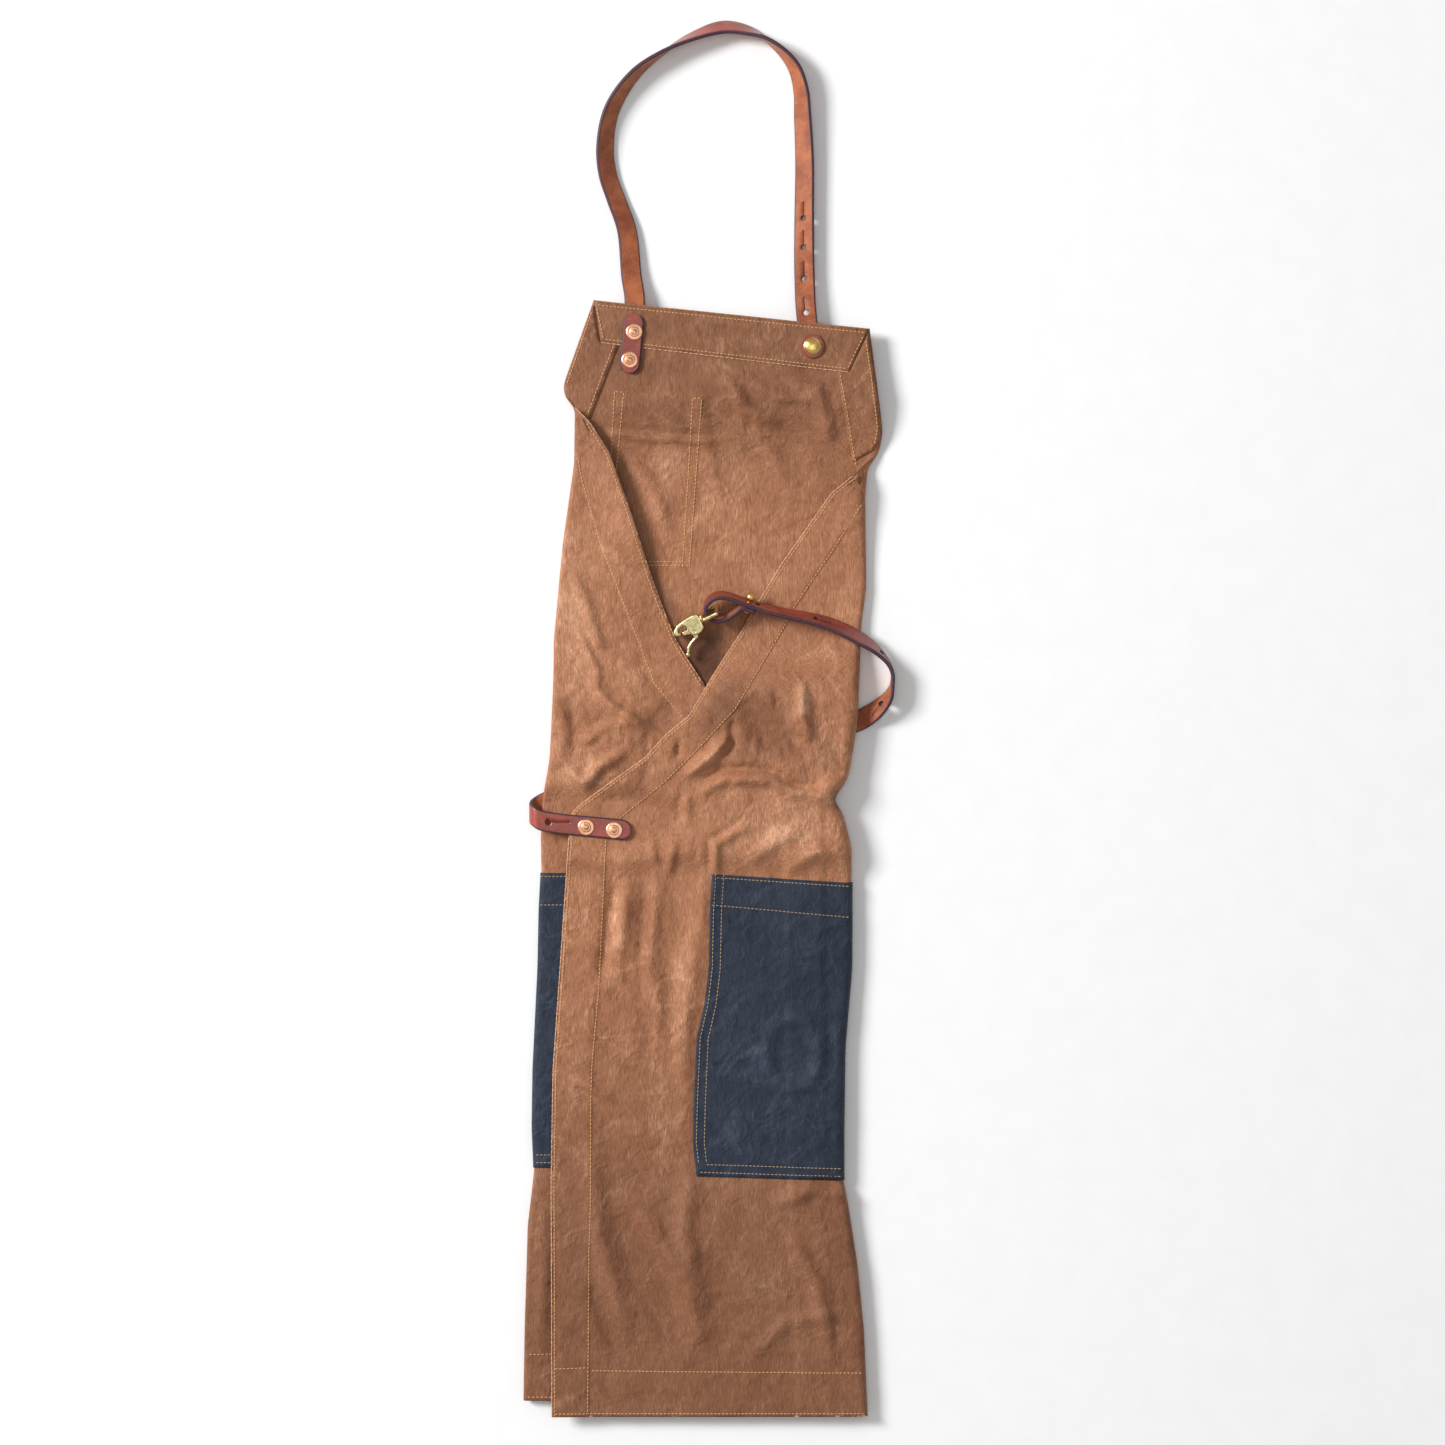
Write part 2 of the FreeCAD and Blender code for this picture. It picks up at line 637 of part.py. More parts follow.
# ---------------------------------------------------------------- rings and the snap hook
def rod(name, start, end, radius_alias):
    """A round rod between two points."""
    bar = doc.addObject("Part::Cylinder", name)
    bar.setExpression("Radius", "Sizes." + radius_alias)
    bar.Height = (V(*end) - V(*start)).Length
    bar.Placement = Placement(V(*start), Rotation(UP, V(*end) - V(*start)))
    return bar


def bead(name, centre, radius_alias):
    """A ball, used where two rods meet and at a lever's end."""
    ball = doc.addObject("Part::Sphere", name)
    ball.setExpression("Radius", "Sizes." + radius_alias)
    ball.Placement = Placement(V(*centre), Rotation())
    return ball


def wire_path(name, corners, radius_alias, closed):
    """Rods along corners with a ball at each."""
    pieces = [bead("%s_corner_%d" % (name, i), corner, radius_alias)
              for i, corner in enumerate(corners)]
    ends = list(zip(corners, corners[1:] + corners[:1]))
    for i, (start, end) in enumerate(ends if closed else ends[:-1]):
        pieces.append(rod("%s_rod_%d" % (name, i), start, end, radius_alias))
    return pieces


def make_waist_ring(tab_under):
    """The ring that the hook snaps into, held by a folded tab on the left wing."""
    wire = size("ring_wire")
    half = size("ring_inside") / 2 + wire
    tab_end = size("tab_end")
    x = RING_RIVETS[1][0] + tab_end + 1.0
    y = RING_RIVETS[1][1]
    z = tab_under + size("tab_eye") + size("ring_play")
    far = x + size("ring_reach")
    corners = [(x, y - half, z), (far - 5, y - half, z), (far, y - half + 6, z),
               (far, y + half - 6, z), (far - 5, y + half, z), (x, y + half, z)]
    united("waist_ring", wire_path("waist_ring", corners, "ring_wire", True))
    tab = doc.addObject("Part::Box", "ring_tab_plate")
    tab.Length = x - 2 - (RING_RIVETS[0][0] - tab_end)
    tab.setExpression("Width", "Sizes.strap_width")
    tab.setExpression("Height", "Sizes.tab_thick")
    start = V(RING_RIVETS[0][0] - tab_end, y - strap_width / 2, tab_under)
    tab.Placement = Placement(start, Rotation())
    eye = doc.addObject("Part::Cylinder", "ring_tab_eye")
    eye.setExpression("Radius", "Sizes.tab_eye")
    eye.setExpression("Height", "Sizes.strap_width")
    across = Rotation(UP, V(0, 1, 0))
    eye.Placement = Placement(V(x, y - strap_width / 2, z), across)
    bore = doc.addObject("Part::Cylinder", "ring_tab_bore")
    bore.setExpression("Radius", "Sizes.ring_wire + Sizes.ring_play")
    bore.Height = 2 * strap_width
    bore.Placement = Placement(V(x, y - strap_width, z), across)
    blank = fused("ring_tab_blank", [tab, eye])
    bored = doc.addObject("Part::Cut", "ring_tab_bored")
    bored.Base = blank
    bored.Tool = bore
    pierced("ring_tab", bored, RING_RIVETS)


EYE_CENTRE = V(5.5, 84.0, fold_height(84.0))
HOOK_ALONG = V(-0.87, -0.49, 0)
HOOK_ALONG = (HOOK_ALONG - FOLD_ACROSS * HOOK_ALONG.dot(FOLD_ACROSS)).normalize()
# The eye's local Z runs across the strap; on its swivel the hook lies level, its lever to the side
EYE_TURN = Rotation(HOOK_ALONG, FOLD_ACROSS.cross(HOOK_ALONG), FOLD_ACROSS, "XZY")
HOOK_TURN = Rotation(HOOK_ALONG, UP.cross(HOOK_ALONG), UP, "XYZ")
HOOK_PLACE = Placement(EYE_CENTRE + HOOK_ALONG * size("hook_start"), HOOK_TURN)
GATE_PIN = (8.2, 7.2)


def make_hook_eye():
    half = size("eye_inside") / 2 + size("eye_wire")
    reach = size("eye_reach")
    corners = [(0, 0, -half), (reach - 2, 0, -half), (reach, 0, -half + 3), (reach, 0, half - 3),
               (reach - 2, 0, half), (0, 0, half)]
    pieces = wire_path("hook_eye", corners, "eye_wire", True)
    pieces.append(rod("hook_eye_stem", (reach, 0, 0), (reach + size("stem_length"), 0, 0),
                      "stem_radius"))
    eye = united("hook_eye", pieces)
    eye.Placement = Placement(EYE_CENTRE, EYE_TURN)


def make_hook_body():
    """The cast J of the hook, with a bore for the stem and a slot for the gate."""
    outline = [
        (0, -3.6), (4, -4.6), (12, -4.2), (19, -2.6), (23.2, 0.2), (24.2, 2.8), (22.6, 5.0),
        (19.6, 5.4), (18.2, 4.0), (20.2, 2.6), (19.0, 0.6), (14.5, -0.5), (12.6, 1.4), (12.4, 6.0),
        (11.2, 9.2), (7.8, 10.8), (3.4, 10.2), (0, 7.6), (-0.6, 3.6),
    ]
    body = new_body("hook_casting")
    sketch = new_sketch(body, "hook_outline", "XY_Plane")
    add_polygon(sketch, outline)
    doc.recompute()
    pad = body.newObject("PartDesign::Pad", "hook_pad")
    pad.Profile = sketch
    pad.SideType = "Symmetric"
    pad.setExpression("Length", "Sizes.hook_thick")
    doc.recompute()
    rims = [edge for edge in range(1, len(pad.Shape.Edges) + 1)
            if abs(pad.Shape.Edges[edge - 1].tangentAt(0).z) < 0.01]
    soften = body.newObject("PartDesign::Chamfer", "hook_soften")
    soften.Base = (pad, ["Edge%d" % edge for edge in rims])
    soften.Size = 0.7
    doc.recompute()
    bore = doc.addObject("Part::Cylinder", "hook_bore")
    bore.setExpression("Radius", "Sizes.stem_radius + Sizes.stem_play")
    bore.setExpression("Height", "Sizes.stem_length")
    bore.Placement = Placement(V(-1.6, 0, 0), Rotation(UP, V(1, 0, 0)))
    slot = doc.addObject("Part::Box", "hook_slot")
    slot.Length = 14.0
    slot.Width = 12.0
    slot.setExpression("Height", "Sizes.slot_thick")
    slot.Placement = Placement(V(3.2, 3.4, -size("slot_thick") / 2), Rotation())
    relief = doc.addObject("Part::Box", "hook_gate_relief")
    relief.Length = 12.6
    relief.Width = 1.6
    relief.setExpression("Height", "Sizes.slot_thick")
    relief.Placement = Placement(V(4.6, 2.0, -size("slot_thick") / 2), Rotation())
    pin_hole = doc.addObject("Part::Cylinder", "hook_pin_hole")
    pin_hole.setExpression("Radius", "Sizes.pin_radius + 0.02")
    pin_hole.Height = 20
    pin_hole.Placement = Placement(V(*GATE_PIN, -10), Rotation())
    cut = doc.addObject("Part::Cut", "hook_body")
    cut.Base = body
    cut.Tool = fused("hook_cuts", [bore, slot, relief, pin_hole])
    cut.Placement = HOOK_PLACE
    register("hook_body", cut)


def make_hook_gate():
    """The sprung gate with its thumb lever, its pin and its spring."""
    outline = [(6.2, 5.0), (7.4, 4.2), (12, 3.9), (17.0, 3.9), (17.6, 4.6), (17.4, 6.4), (12.5, 7.6),
               (11.0, 9.4), (10.6, 12.4), (8.4, 13.0), (7.2, 11.0), (6.4, 8.4)]
    body = new_body("gate_plate")
    sketch = new_sketch(body, "gate_outline", "XY_Plane")
    add_polygon(sketch, outline)
    doc.recompute()
    pad = body.newObject("PartDesign::Pad", "gate_pad")
    pad.Profile = sketch
    pad.SideType = "Symmetric"
    pad.setExpression("Length", "Sizes.gate_thick")
    doc.recompute()
    lever = [(9.4, 12.0, 0), (14.6, 14.0, 0), (18.6, 16.6, 0), (21.0, 21.2, 0)]
    pieces = wire_path("gate_lever", lever, "lever_wire", False)
    pieces.append(bead("gate_ball", lever[-1], "lever_ball"))
    hole = doc.addObject("Part::Cylinder", "gate_pin_hole")
    hole.setExpression("Radius", "Sizes.pin_radius + Sizes.pin_play")
    hole.Height = 10
    hole.Placement = Placement(V(*GATE_PIN, -5), Rotation())
    gate = doc.addObject("Part::Cut", "hook_gate")
    gate.Base = fused("gate_blank", [body] + pieces)
    gate.Tool = hole
    gate.Placement = HOOK_PLACE
    register("hook_gate", gate)
    pin = doc.addObject("Part::Cylinder", "gate_pin")
    pin.setExpression("Radius", "Sizes.pin_radius")
    pin.setExpression("Height", "Sizes.hook_thick")
    pin.Placement = HOOK_PLACE.multiply(Placement(V(*GATE_PIN, -size("hook_thick") / 2), Rotation()))
    register("gate_pin", pin)
    spring = turned("gate_spring", [(0.5, 0), (1.1, 0), (1.1, 1.5), (0.5, 1.5)])
    spring.Placement = HOOK_PLACE.multiply(Placement(V(3.3, 5.8, 0), Rotation(UP, V(1, 0, 0))))


# ---------------------------------------------------------------- build, test and write
make_front_panel()
make_wings()
make_bib_facings()
make_wing_facings()
make_hem_facing()
make_pockets()
make_neck_strap()
make_neck_fittings()
make_waist_strap()
make_tail()
make_waist_ring(make_waist_fittings())
make_hook_eye()
make_hook_body()
make_hook_gate()
doc.recompute()

for obj in doc.Objects:
    if "Invalid" in obj.State or "Error" in obj.State:
        raise RuntimeError("%s failed: %s" % (obj.Name, obj.State))
os.makedirs("parts", exist_ok=True)
for name, obj in parts.items():
    shape = obj.Shape
    if shape.isNull() or not shape.isValid() or not shape.Solids:
        raise RuntimeError(name + " has no sound shape")
    shape.exportStep("parts/%s.step" % name)
    print("%-24s %9.1f mm3  %d solids" % (name, shape.Volume, len(shape.Solids)))
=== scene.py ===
import math

import bmesh
import bpy
import numpy as np
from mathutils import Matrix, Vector
from mathutils.geometry import delaunay_2d_cdt


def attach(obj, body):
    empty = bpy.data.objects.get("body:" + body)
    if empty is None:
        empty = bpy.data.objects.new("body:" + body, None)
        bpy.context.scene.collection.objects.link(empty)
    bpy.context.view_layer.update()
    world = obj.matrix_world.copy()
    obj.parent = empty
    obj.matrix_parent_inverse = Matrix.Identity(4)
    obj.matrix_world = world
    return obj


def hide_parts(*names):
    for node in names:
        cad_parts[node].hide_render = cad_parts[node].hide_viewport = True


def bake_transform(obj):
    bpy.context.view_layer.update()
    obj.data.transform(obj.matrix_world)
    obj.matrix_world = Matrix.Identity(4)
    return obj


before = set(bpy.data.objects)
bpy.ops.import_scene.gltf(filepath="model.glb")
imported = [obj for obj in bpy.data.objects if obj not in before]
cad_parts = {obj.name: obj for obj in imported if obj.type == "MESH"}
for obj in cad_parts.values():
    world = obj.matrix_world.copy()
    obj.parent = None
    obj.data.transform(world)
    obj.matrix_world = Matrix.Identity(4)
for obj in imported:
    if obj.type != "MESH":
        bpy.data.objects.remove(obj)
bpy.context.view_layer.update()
MM = 0.001


# ---------------------------------------------------------------- camera, light and floor
VIEW_CENTRE = (0.01014, -0.00367)
VIEW_WIDTH, VIEW_LEVEL = 1.1271, 0.008  # metres seen across, at this height above the table
LENS, SENSOR = 85.0, 36.0
LAMPS = (("window", (-3.8, 1.6, 2.9), 1.5, 290), ("ceiling", (0.0, 0.1, 2.9), 1.3, 9))
SKY_STRENGTH = 0.40
FLOOR_HALF, FLOOR_GAP = 9.0, 0.0003


def make_stage():
    """Camera straight above, soft daylight from the left and a pale floor."""
    scene = bpy.context.scene
    data = bpy.data.cameras.new("camera")
    data.lens = LENS
    data.sensor_width = SENSOR
    data.clip_end = 20
    camera = bpy.data.objects.new("camera", data)
    camera.location = (*VIEW_CENTRE, VIEW_LEVEL + VIEW_WIDTH * LENS / SENSOR)
    scene.collection.objects.link(camera)
    scene.camera = camera
    scene.view_settings.view_transform = "Standard"
    world = bpy.data.worlds.new("studio")
    world.use_nodes = True
    back = world.node_tree.nodes["Background"]
    back.inputs["Color"].default_value = (1.0, 1.0, 1.0, 1)
    back.inputs["Strength"].default_value = SKY_STRENGTH
    scene.world = world
    for name, place, size, power in LAMPS:
        lamp = bpy.data.lights.new(name, "AREA")
        lamp.size = size
        lamp.energy = power
        light = bpy.data.objects.new(name, lamp)
        light.location = place
        light.rotation_euler = (-Vector(place)).to_track_quat("-Z", "Y").to_euler()
        scene.collection.objects.link(light)
    mesh = bpy.data.meshes.new("floor")
    corners = [(x * FLOOR_HALF, y * FLOOR_HALF, 0) for x, y in ((-1, -1), (1, -1), (1, 1), (-1, 1))]
    mesh.from_pydata(corners, [], [(0, 1, 2, 3)])
    floor = bpy.data.objects.new("floor", mesh)
    floor.location.z = -FLOOR_GAP
    scene.collection.objects.link(floor)
    return floor


# ---------------------------------------------------------------- material nodes
class Graph:
    """A material's node tree with short calls for adding and linking nodes."""

    def __init__(self, name):
        self.material = bpy.data.materials.new(name)
        self.material.use_nodes = True
        self.tree = self.material.node_tree
        self.shader = self.tree.nodes["Principled BSDF"]
        self.place = self.add("TexCoord").outputs["Object"]

    def add(self, kind, inputs=None, **settings):
        node = self.tree.nodes.new("ShaderNode" + kind)
        for key, value in settings.items():
            setattr(node, key, value)
        self.feed(node, inputs or {})
        return node

    def feed(self, node, inputs):
        for key, value in inputs.items():
            if isinstance(value, bpy.types.NodeSocket):
                self.tree.links.new(value, node.inputs[key])
            else:
                node.inputs[key].default_value = value

    def math(self, kind, a, b=0.0, c=0.0, clamp=False):
        return self.add("Math", {0: a, 1: b, 2: c}, operation=kind, use_clamp=clamp).outputs[0]

    def plus(self, a, b):
        return self.math("ADD", a, b)

    def times(self, a, b):
        return self.math("MULTIPLY", a, b)

    def scaled(self, value, factor, more):
        return self.math("MULTIPLY_ADD", value, factor, more)

    def noise(self, scale, detail=4.0, rough=0.6, stretch=None, distortion=0.0, at=0.0):
        place = self.place
        if stretch or at:
            place = self.add("Mapping", {"Vector": place, "Location": (at, at, at),
                                         "Scale": stretch or (1, 1, 1)}).outputs[0]
        return self.add("TexNoise", {"Vector": place, "Scale": scale, "Detail": detail,
                                     "Roughness": rough, "Distortion": distortion}).outputs["Fac"]

    def ramp(self, value, low, high):
        return self.add("MapRange", {"Value": value, "From Min": low, "From Max": high},
                        interpolation_type="SMOOTHSTEP").outputs["Result"]

    def mix(self, share, a, b):
        node = self.add("Mix", data_type="RGBA")
        self.feed(node, {0: share, 6: a, 7: b})
        return node.outputs[2]

    def bump(self, height, strength, distance, below=None):
        inputs = {"Height": height, "Strength": strength, "Distance": distance}
        if below is not None:
            inputs["Normal"] = below
        return self.add("Bump", inputs).outputs["Normal"]

    def finish(self, colour, normal, roughness, **more):
        self.feed(self.shader, {"Base Color": colour, "Normal": normal, "Roughness": roughness})
        self.feed(self.shader, {key.replace("_", " "): value for key, value in more.items()})
        return self.material

    def weave(self, pitch):
        """Threads over and under, as a height from 0 to 1."""
        xyz = self.add("SeparateXYZ", {0: self.place})
        turn = 2 * math.pi / (pitch * MM)
        wobble = self.times(self.noise(120, 2), 5.0)
        sides = [self.math("SINE", self.plus(self.times(xyz.outputs[i], turn), wobble))
                 for i in range(2)]
        return self.scaled(self.times(*sides), 0.5, 0.5)


def rgb(*levels):
    return (*levels, 1.0)


# painted shade where the light falls off towards the hem and towards the bib's top
HEM_SHADE, BIB_SHADE = (-0.16, -0.42), (0.14, 0.29)  # Y in metres: where it starts, and is full
PAINTED_SHADE_GAIN, DARKEST = 1.8, 0.92
WEAVE_PITCH = 0.95


def canvas_material(name, deep, middle, pale, shaded=0.0, marks=()):
    """Waxed canvas: mottled wax, fine vertical threads, small wrinkles and a fine weave.

    shaded is the share of deep colour mixed in as painted shade, where the light falls off at the
    hem and at the top of the bib. marks are soft ellipses of painted light (above 0) on raised, lit
    cloth and painted shade (below 0) in hollows, folds and under edges: x, y, half width, half
    height in mm, turn in degrees, amount.
    """
    g = Graph(name)
    clouds = g.noise(9, 3, 0.55, distortion=0.3)
    patches = g.noise(55, 5, 0.6, at=3.1)
    slubs = g.noise(1500, 2, 0.7, stretch=(1, 0.10, 1))
    rubs = g.noise(130, 5, 0.65, stretch=(1, 0.6, 1), at=5.5)
    tone = g.scaled(clouds, 0.42, g.scaled(patches, 0.32, 0.13))
    tone = g.plus(tone, g.scaled(slubs, 0.9, -0.45))
    tone = g.plus(tone, g.scaled(rubs, 0.24, -0.12))
    wrinkles = g.noise(60, 4, 0.5, distortion=0.8, at=9.4)
    veins = g.noise(24, 4, 0.5, distortion=0.5, at=7.7)
    veins = g.math("ABSOLUTE", g.scaled(veins, 2.0, -1.0))
    where = g.ramp(g.noise(8, 2, at=5.3), 0.42, 0.62)
    ridges = g.times(g.ramp(veins, 0.13, 0.0), where)
    tone = g.plus(tone, g.times(g.times(ridges, rubs), 0.20))
    # the marks' painted light is added to the tone; their painted shade is summed here
    painted_shade = 0.0
    for x, y, wide, tall, turn, amount in marks:
        place = g.add("Mapping", {"Vector": g.place, "Location": (x * MM, y * MM, 0),
                                  "Rotation": (0, 0, math.radians(turn)),
                                  "Scale": (wide * MM, tall * MM, 1000)},
                      vector_type="TEXTURE").outputs[0]
        far = g.add("VectorMath", {0: place}, operation="LENGTH").outputs["Value"]
        near = g.ramp(far, 1.15, 0.15)
        if amount > 0:
            tone = g.scaled(near, amount, tone)
        else:
            painted_shade = g.scaled(near, -PAINTED_SHADE_GAIN * amount, painted_shade)
    colour = g.mix(g.ramp(tone, 0.02, 0.54), rgb(*deep), rgb(*middle))
    colour = g.mix(g.ramp(tone, 0.48, 0.92), colour, rgb(*pale))
    # painted shade: the light falls off towards the hem and the top of the bib
    if shaded:
        split = g.add("SeparateXYZ", {"Vector": g.place}).outputs["Y"]
        ends = g.plus(g.ramp(split, *HEM_SHADE), g.ramp(split, *BIB_SHADE))
        colour = g.mix(g.times(ends, shaded), colour, rgb(*deep))
    # painted shade of the dark marks, mixed toward the deep colour
    if marks:
        colour = g.mix(g.math("MINIMUM", painted_shade, DARKEST), colour, rgb(*deep))
    threads = g.weave(WEAVE_PITCH)
    normal = g.bump(threads, 0.35, 0.0002)
    normal = g.bump(slubs, 0.45, 0.0004, normal)
    normal = g.bump(wrinkles, 0.6, 0.004, normal)
    normal = g.bump(ridges, 0.4, 0.0010, normal)
    return g.finish(colour, normal, g.scaled(patches, -0.25, 0.76), Specular_IOR_Level=0.28,
                    Sheen_Weight=0.05)


def leather_grain(name, dark, light):
    g = Graph(name)
    clouds = g.noise(30, 4)
    pores = g.add("TexVoronoi", {"Vector": g.place, "Scale": 1500.0}).outputs["Distance"]
    creases = g.noise(420, 5, 0.7)
    tone = g.plus(g.times(clouds, 0.6), g.times(creases, 0.4))
    colour = g.mix(g.ramp(tone, 0.35, 0.65), rgb(*dark), rgb(*light))
    height = g.plus(g.times(pores, 0.5), creases)
    return g.finish(colour, g.bump(height, 0.22, 0.0002), g.scaled(creases, 0.25, 0.3),
                    Coat_Weight=0.4, Specular_IOR_Level=0.4, Coat_Roughness=0.22)


def leather_flesh(name, dark, light):
    g = Graph(name)
    fibres = g.noise(700, 6, 0.75, distortion=1.0)
    clouds = g.noise(60, 4)
    tone = g.plus(g.times(clouds, 0.5), g.times(fibres, 0.5))
    colour = g.mix(g.ramp(tone, 0.38, 0.62), rgb(*dark), rgb(*light))
    return g.finish(colour, g.bump(fibres, 0.4, 0.0003), g.scaled(fibres, 0.2, 0.55),
                    Sheen_Weight=0.1)


def plain_noise(name, dark, light, scale, rough, strength, metal=0.0):
    """A surface of two close tones with a fine bump: dyed edges, thread and metals."""
    g = Graph(name)
    grain = g.noise(scale, 4, 0.6)
    colour = g.mix(g.ramp(grain, 0.35, 0.65), rgb(*dark), rgb(*light))
    return g.finish(colour, g.bump(grain, strength, 0.0001), g.scaled(grain, 0.2, rough - 0.1),
                    Metallic=metal)


# painted light on raised, lit cloth (amount above 0) and painted shade in the wings' hollows and
# folds (below 0)
WING_LIGHT_AND_SHADE = (
    (-112, 110, 26, 100, 6, 0.12), (-98, -42, 36, 26, 20, 0.18), (-110, 6, 20, 15, 0, -0.16),
    (-40, -2, 30, 11, 42, -0.20), (8, 10, 15, 38, -34, -0.26), (42, -6, 42, 48, -14, -0.20),
    (60, -22, 14, 20, -30, -0.10), (74, 14, 9, 18, 0, 0.26), (103, -64, 9, 11, 30, -0.6),
    (0, -32, 24, 8, 40, 0.14), (-56, -52, 20, 9, 38, -0.14), (60, -92, 52, 16, 8, 0.12),
    (-50, -165, 8, 42, 4, -0.12), (-72, -160, 8, 46, 5, 0.10), (-22, -200, 12, 90, -3, 0.10),
    (90, -30, 16, 18, 0, -0.16), (-80, -470, 9, 40, 20, -0.12), (-104, -290, 12, 60, 0, 0.05),
    (40, -150, 30, 8, 0, -0.05), (-42, -300, 20, 60, 8, 0.06),
)
# painted shade in the V, along the left wing's free edge and at the bib top (below 0), and painted
# light on the bib (above 0)
INNER_LIGHT_AND_SHADE = (
    (-4, 46, 24, 34, -12, -0.60), (-34, 84, 12, 40, 22, -0.30), (-54, 134, 12, 44, 20, -0.22),
    (-74, 190, 11, 36, 24, -0.20), (-38, 234, 48, 15, -4, -0.10), (60, 240, 50, 26, 0, -0.05),
    (14, 190, 20, 60, -6, 0.06), (40, 110, 30, 24, 0, 0.05),
)
TONES = (0.075, 0.025, 0.010), (0.365, 0.150, 0.072), (0.66, 0.36, 0.215)
BROWN = canvas_material("waxed_canvas_brown", *TONES, 0.48, WING_LIGHT_AND_SHADE)
BROWN_INNER = canvas_material("waxed_canvas_inner_face", *TONES, 0.45, INNER_LIGHT_AND_SHADE)
NAVY = canvas_material("waxed_canvas_navy", (0.003, 0.005, 0.010), (0.018, 0.026, 0.045),
                       (0.052, 0.068, 0.100))
GRAIN = leather_grain("leather_grain", (0.15, 0.022, 0.012), (0.34, 0.058, 0.034))
FLESH = leather_flesh("leather_flesh", (0.23, 0.050, 0.014), (0.44, 0.125, 0.040))
EDGE = plain_noise("leather_edge", (0.035, 0.012, 0.022), (0.075, 0.030, 0.050), 900, 0.55, 0.4)
THREAD = plain_noise("thread_tan", (0.50, 0.24, 0.09), (0.78, 0.45, 0.20), 2500, 0.6, 0.5)
THREAD_PALE = plain_noise("thread_pale", (0.28, 0.19, 0.12), (0.44, 0.32, 0.22), 2500, 0.6, 0.5)
# partly worn canvas, partly a painted highlight on the turned edge
WORN_LIT_EDGE = plain_noise("worn_canvas_edge", (0.46, 0.22, 0.12), (0.74, 0.44, 0.29), 900, 0.7, 0.5)
COPPER = plain_noise("copper", (0.62, 0.30, 0.17), (0.80, 0.44, 0.27), 300, 0.32, 0.06, 1.0)
BRASS = plain_noise("brass", (0.62, 0.52, 0.24), (0.80, 0.70, 0.38), 260, 0.3, 0.05, 1.0)
STUD_BRASS = plain_noise("stud_brass", (0.70, 0.44, 0.11), (0.90, 0.64, 0.22), 260, 0.28, 0.05, 1.0)
STEEL = plain_noise("spring_steel", (0.35, 0.35, 0.35), (0.5, 0.5, 0.5), 900, 0.3, 0.2, 1.0)
FLOOR = plain_noise("floor_paper", (0.90, 0.90, 0.90), (0.915, 0.915, 0.915), 40, 0.9, 0.02)


# ---------------------------------------------------------------- smooth lines and noise
def unit_rows(vectors):
    return vectors / np.linalg.norm(vectors, axis=1)[:, None]


def held(value):
    """The value held between 0 and 1."""
    return np.clip(value, 0, 1)


def soft_step(value):
    t = held(value)
    return t * t * (3 - 2 * t)


def eased(y, stations):
    """Smooth interpolation through (position, value) stations in rising order."""
    at = np.array([p for p, _ in stations], float)
    value = np.array([v for _, v in stations], float)
    y = np.clip(y, at[0], at[-1])
    i = np.clip(np.searchsorted(at, y, side="right") - 1, 0, len(at) - 2)
    step = soft_step((y - at[i]) / (at[i + 1] - at[i]))
    return value[i] + step * (value[i + 1] - value[i])


def line_x(points, soft):
    """x as a function of y along a line of (x, y) points, with its corners softened."""
    points = sorted((y, x) for x, y in points)
    ys = np.arange(points[0][0], points[-1][0] + 0.5, 0.5)
    xs = np.interp(ys, [p[0] for p in points], [p[1] for p in points])
    if soft:
        half = int(3 * soft / 0.5)
        kernel = np.exp(-0.5 * (np.arange(-half, half + 1) * 0.5 / soft) ** 2)
        padded = np.concatenate([2 * xs[0] - xs[half:0:-1], xs, 2 * xs[-1] - xs[-2:-half - 2:-1]])
        xs = np.convolve(padded, kernel / kernel.sum(), "valid")
    return lambda y: np.interp(y, ys, xs)


def noise_field(seed, cells=64):
    angle = np.random.default_rng(seed).uniform(0, 2 * np.pi, (cells, cells))
    gx, gy = np.cos(angle), np.sin(angle)

    def field(x, y, size, stretch=1.0, turn=0.0):
        """Smooth noise, about -1 to 1; features are size mm wide and size * stretch long."""
        c, s = math.cos(math.radians(turn)), math.sin(math.radians(turn))
        u = (c * x + s * y) / size + 31.3
        v = (-s * x + c * y) / (size * stretch) + 17.7
        i, j = np.floor(u).astype(int), np.floor(v).astype(int)
        fu, fv = u - i, v - j
        wu = fu ** 3 * (fu * (fu * 6 - 15) + 10)
        wv = fv ** 3 * (fv * (fv * 6 - 15) + 10)

        def corner(di, dj):
            a, b = (i + di) % cells, (j + dj) % cells
            return gx[a, b] * (fu - di) + gy[a, b] * (fv - dj)

        low = corner(0, 0) + wu * (corner(1, 0) - corner(0, 0))
        high = corner(0, 1) + wu * (corner(1, 1) - corner(0, 1))
        return 1.5 * (low + wv * (high - low))

    return field


SWELL, FOLDS, FINE = (noise_field(seed) for seed in (3, 11, 29))


def to_line(x, y, points):
    """Distance to a line of points and the share of its length at the nearest place."""
    near = np.full(np.shape(x), 1e9)
    share = np.zeros(np.shape(x))
    runs = [math.dist(a, b) for a, b in zip(points, points[1:])]
    done = 0.0
    for (x0, y0), (x1, y1), run in zip(points, points[1:], runs):
        t = held(((x - x0) * (x1 - x0) + (y - y0) * (y1 - y0)) / run ** 2)
        d = np.hypot(x - x0 - t * (x1 - x0), y - y0 - t * (y1 - y0))
        closer = d < near
        near = np.where(closer, d, near)
        share = np.where(closer, (done + t * run) / sum(runs), share)
        done += run
    return near, share


CREASE = 2.5  # how much higher every crease stands than its table says
CREASE_END = 0.15  # share of its height that a crease keeps at its ends


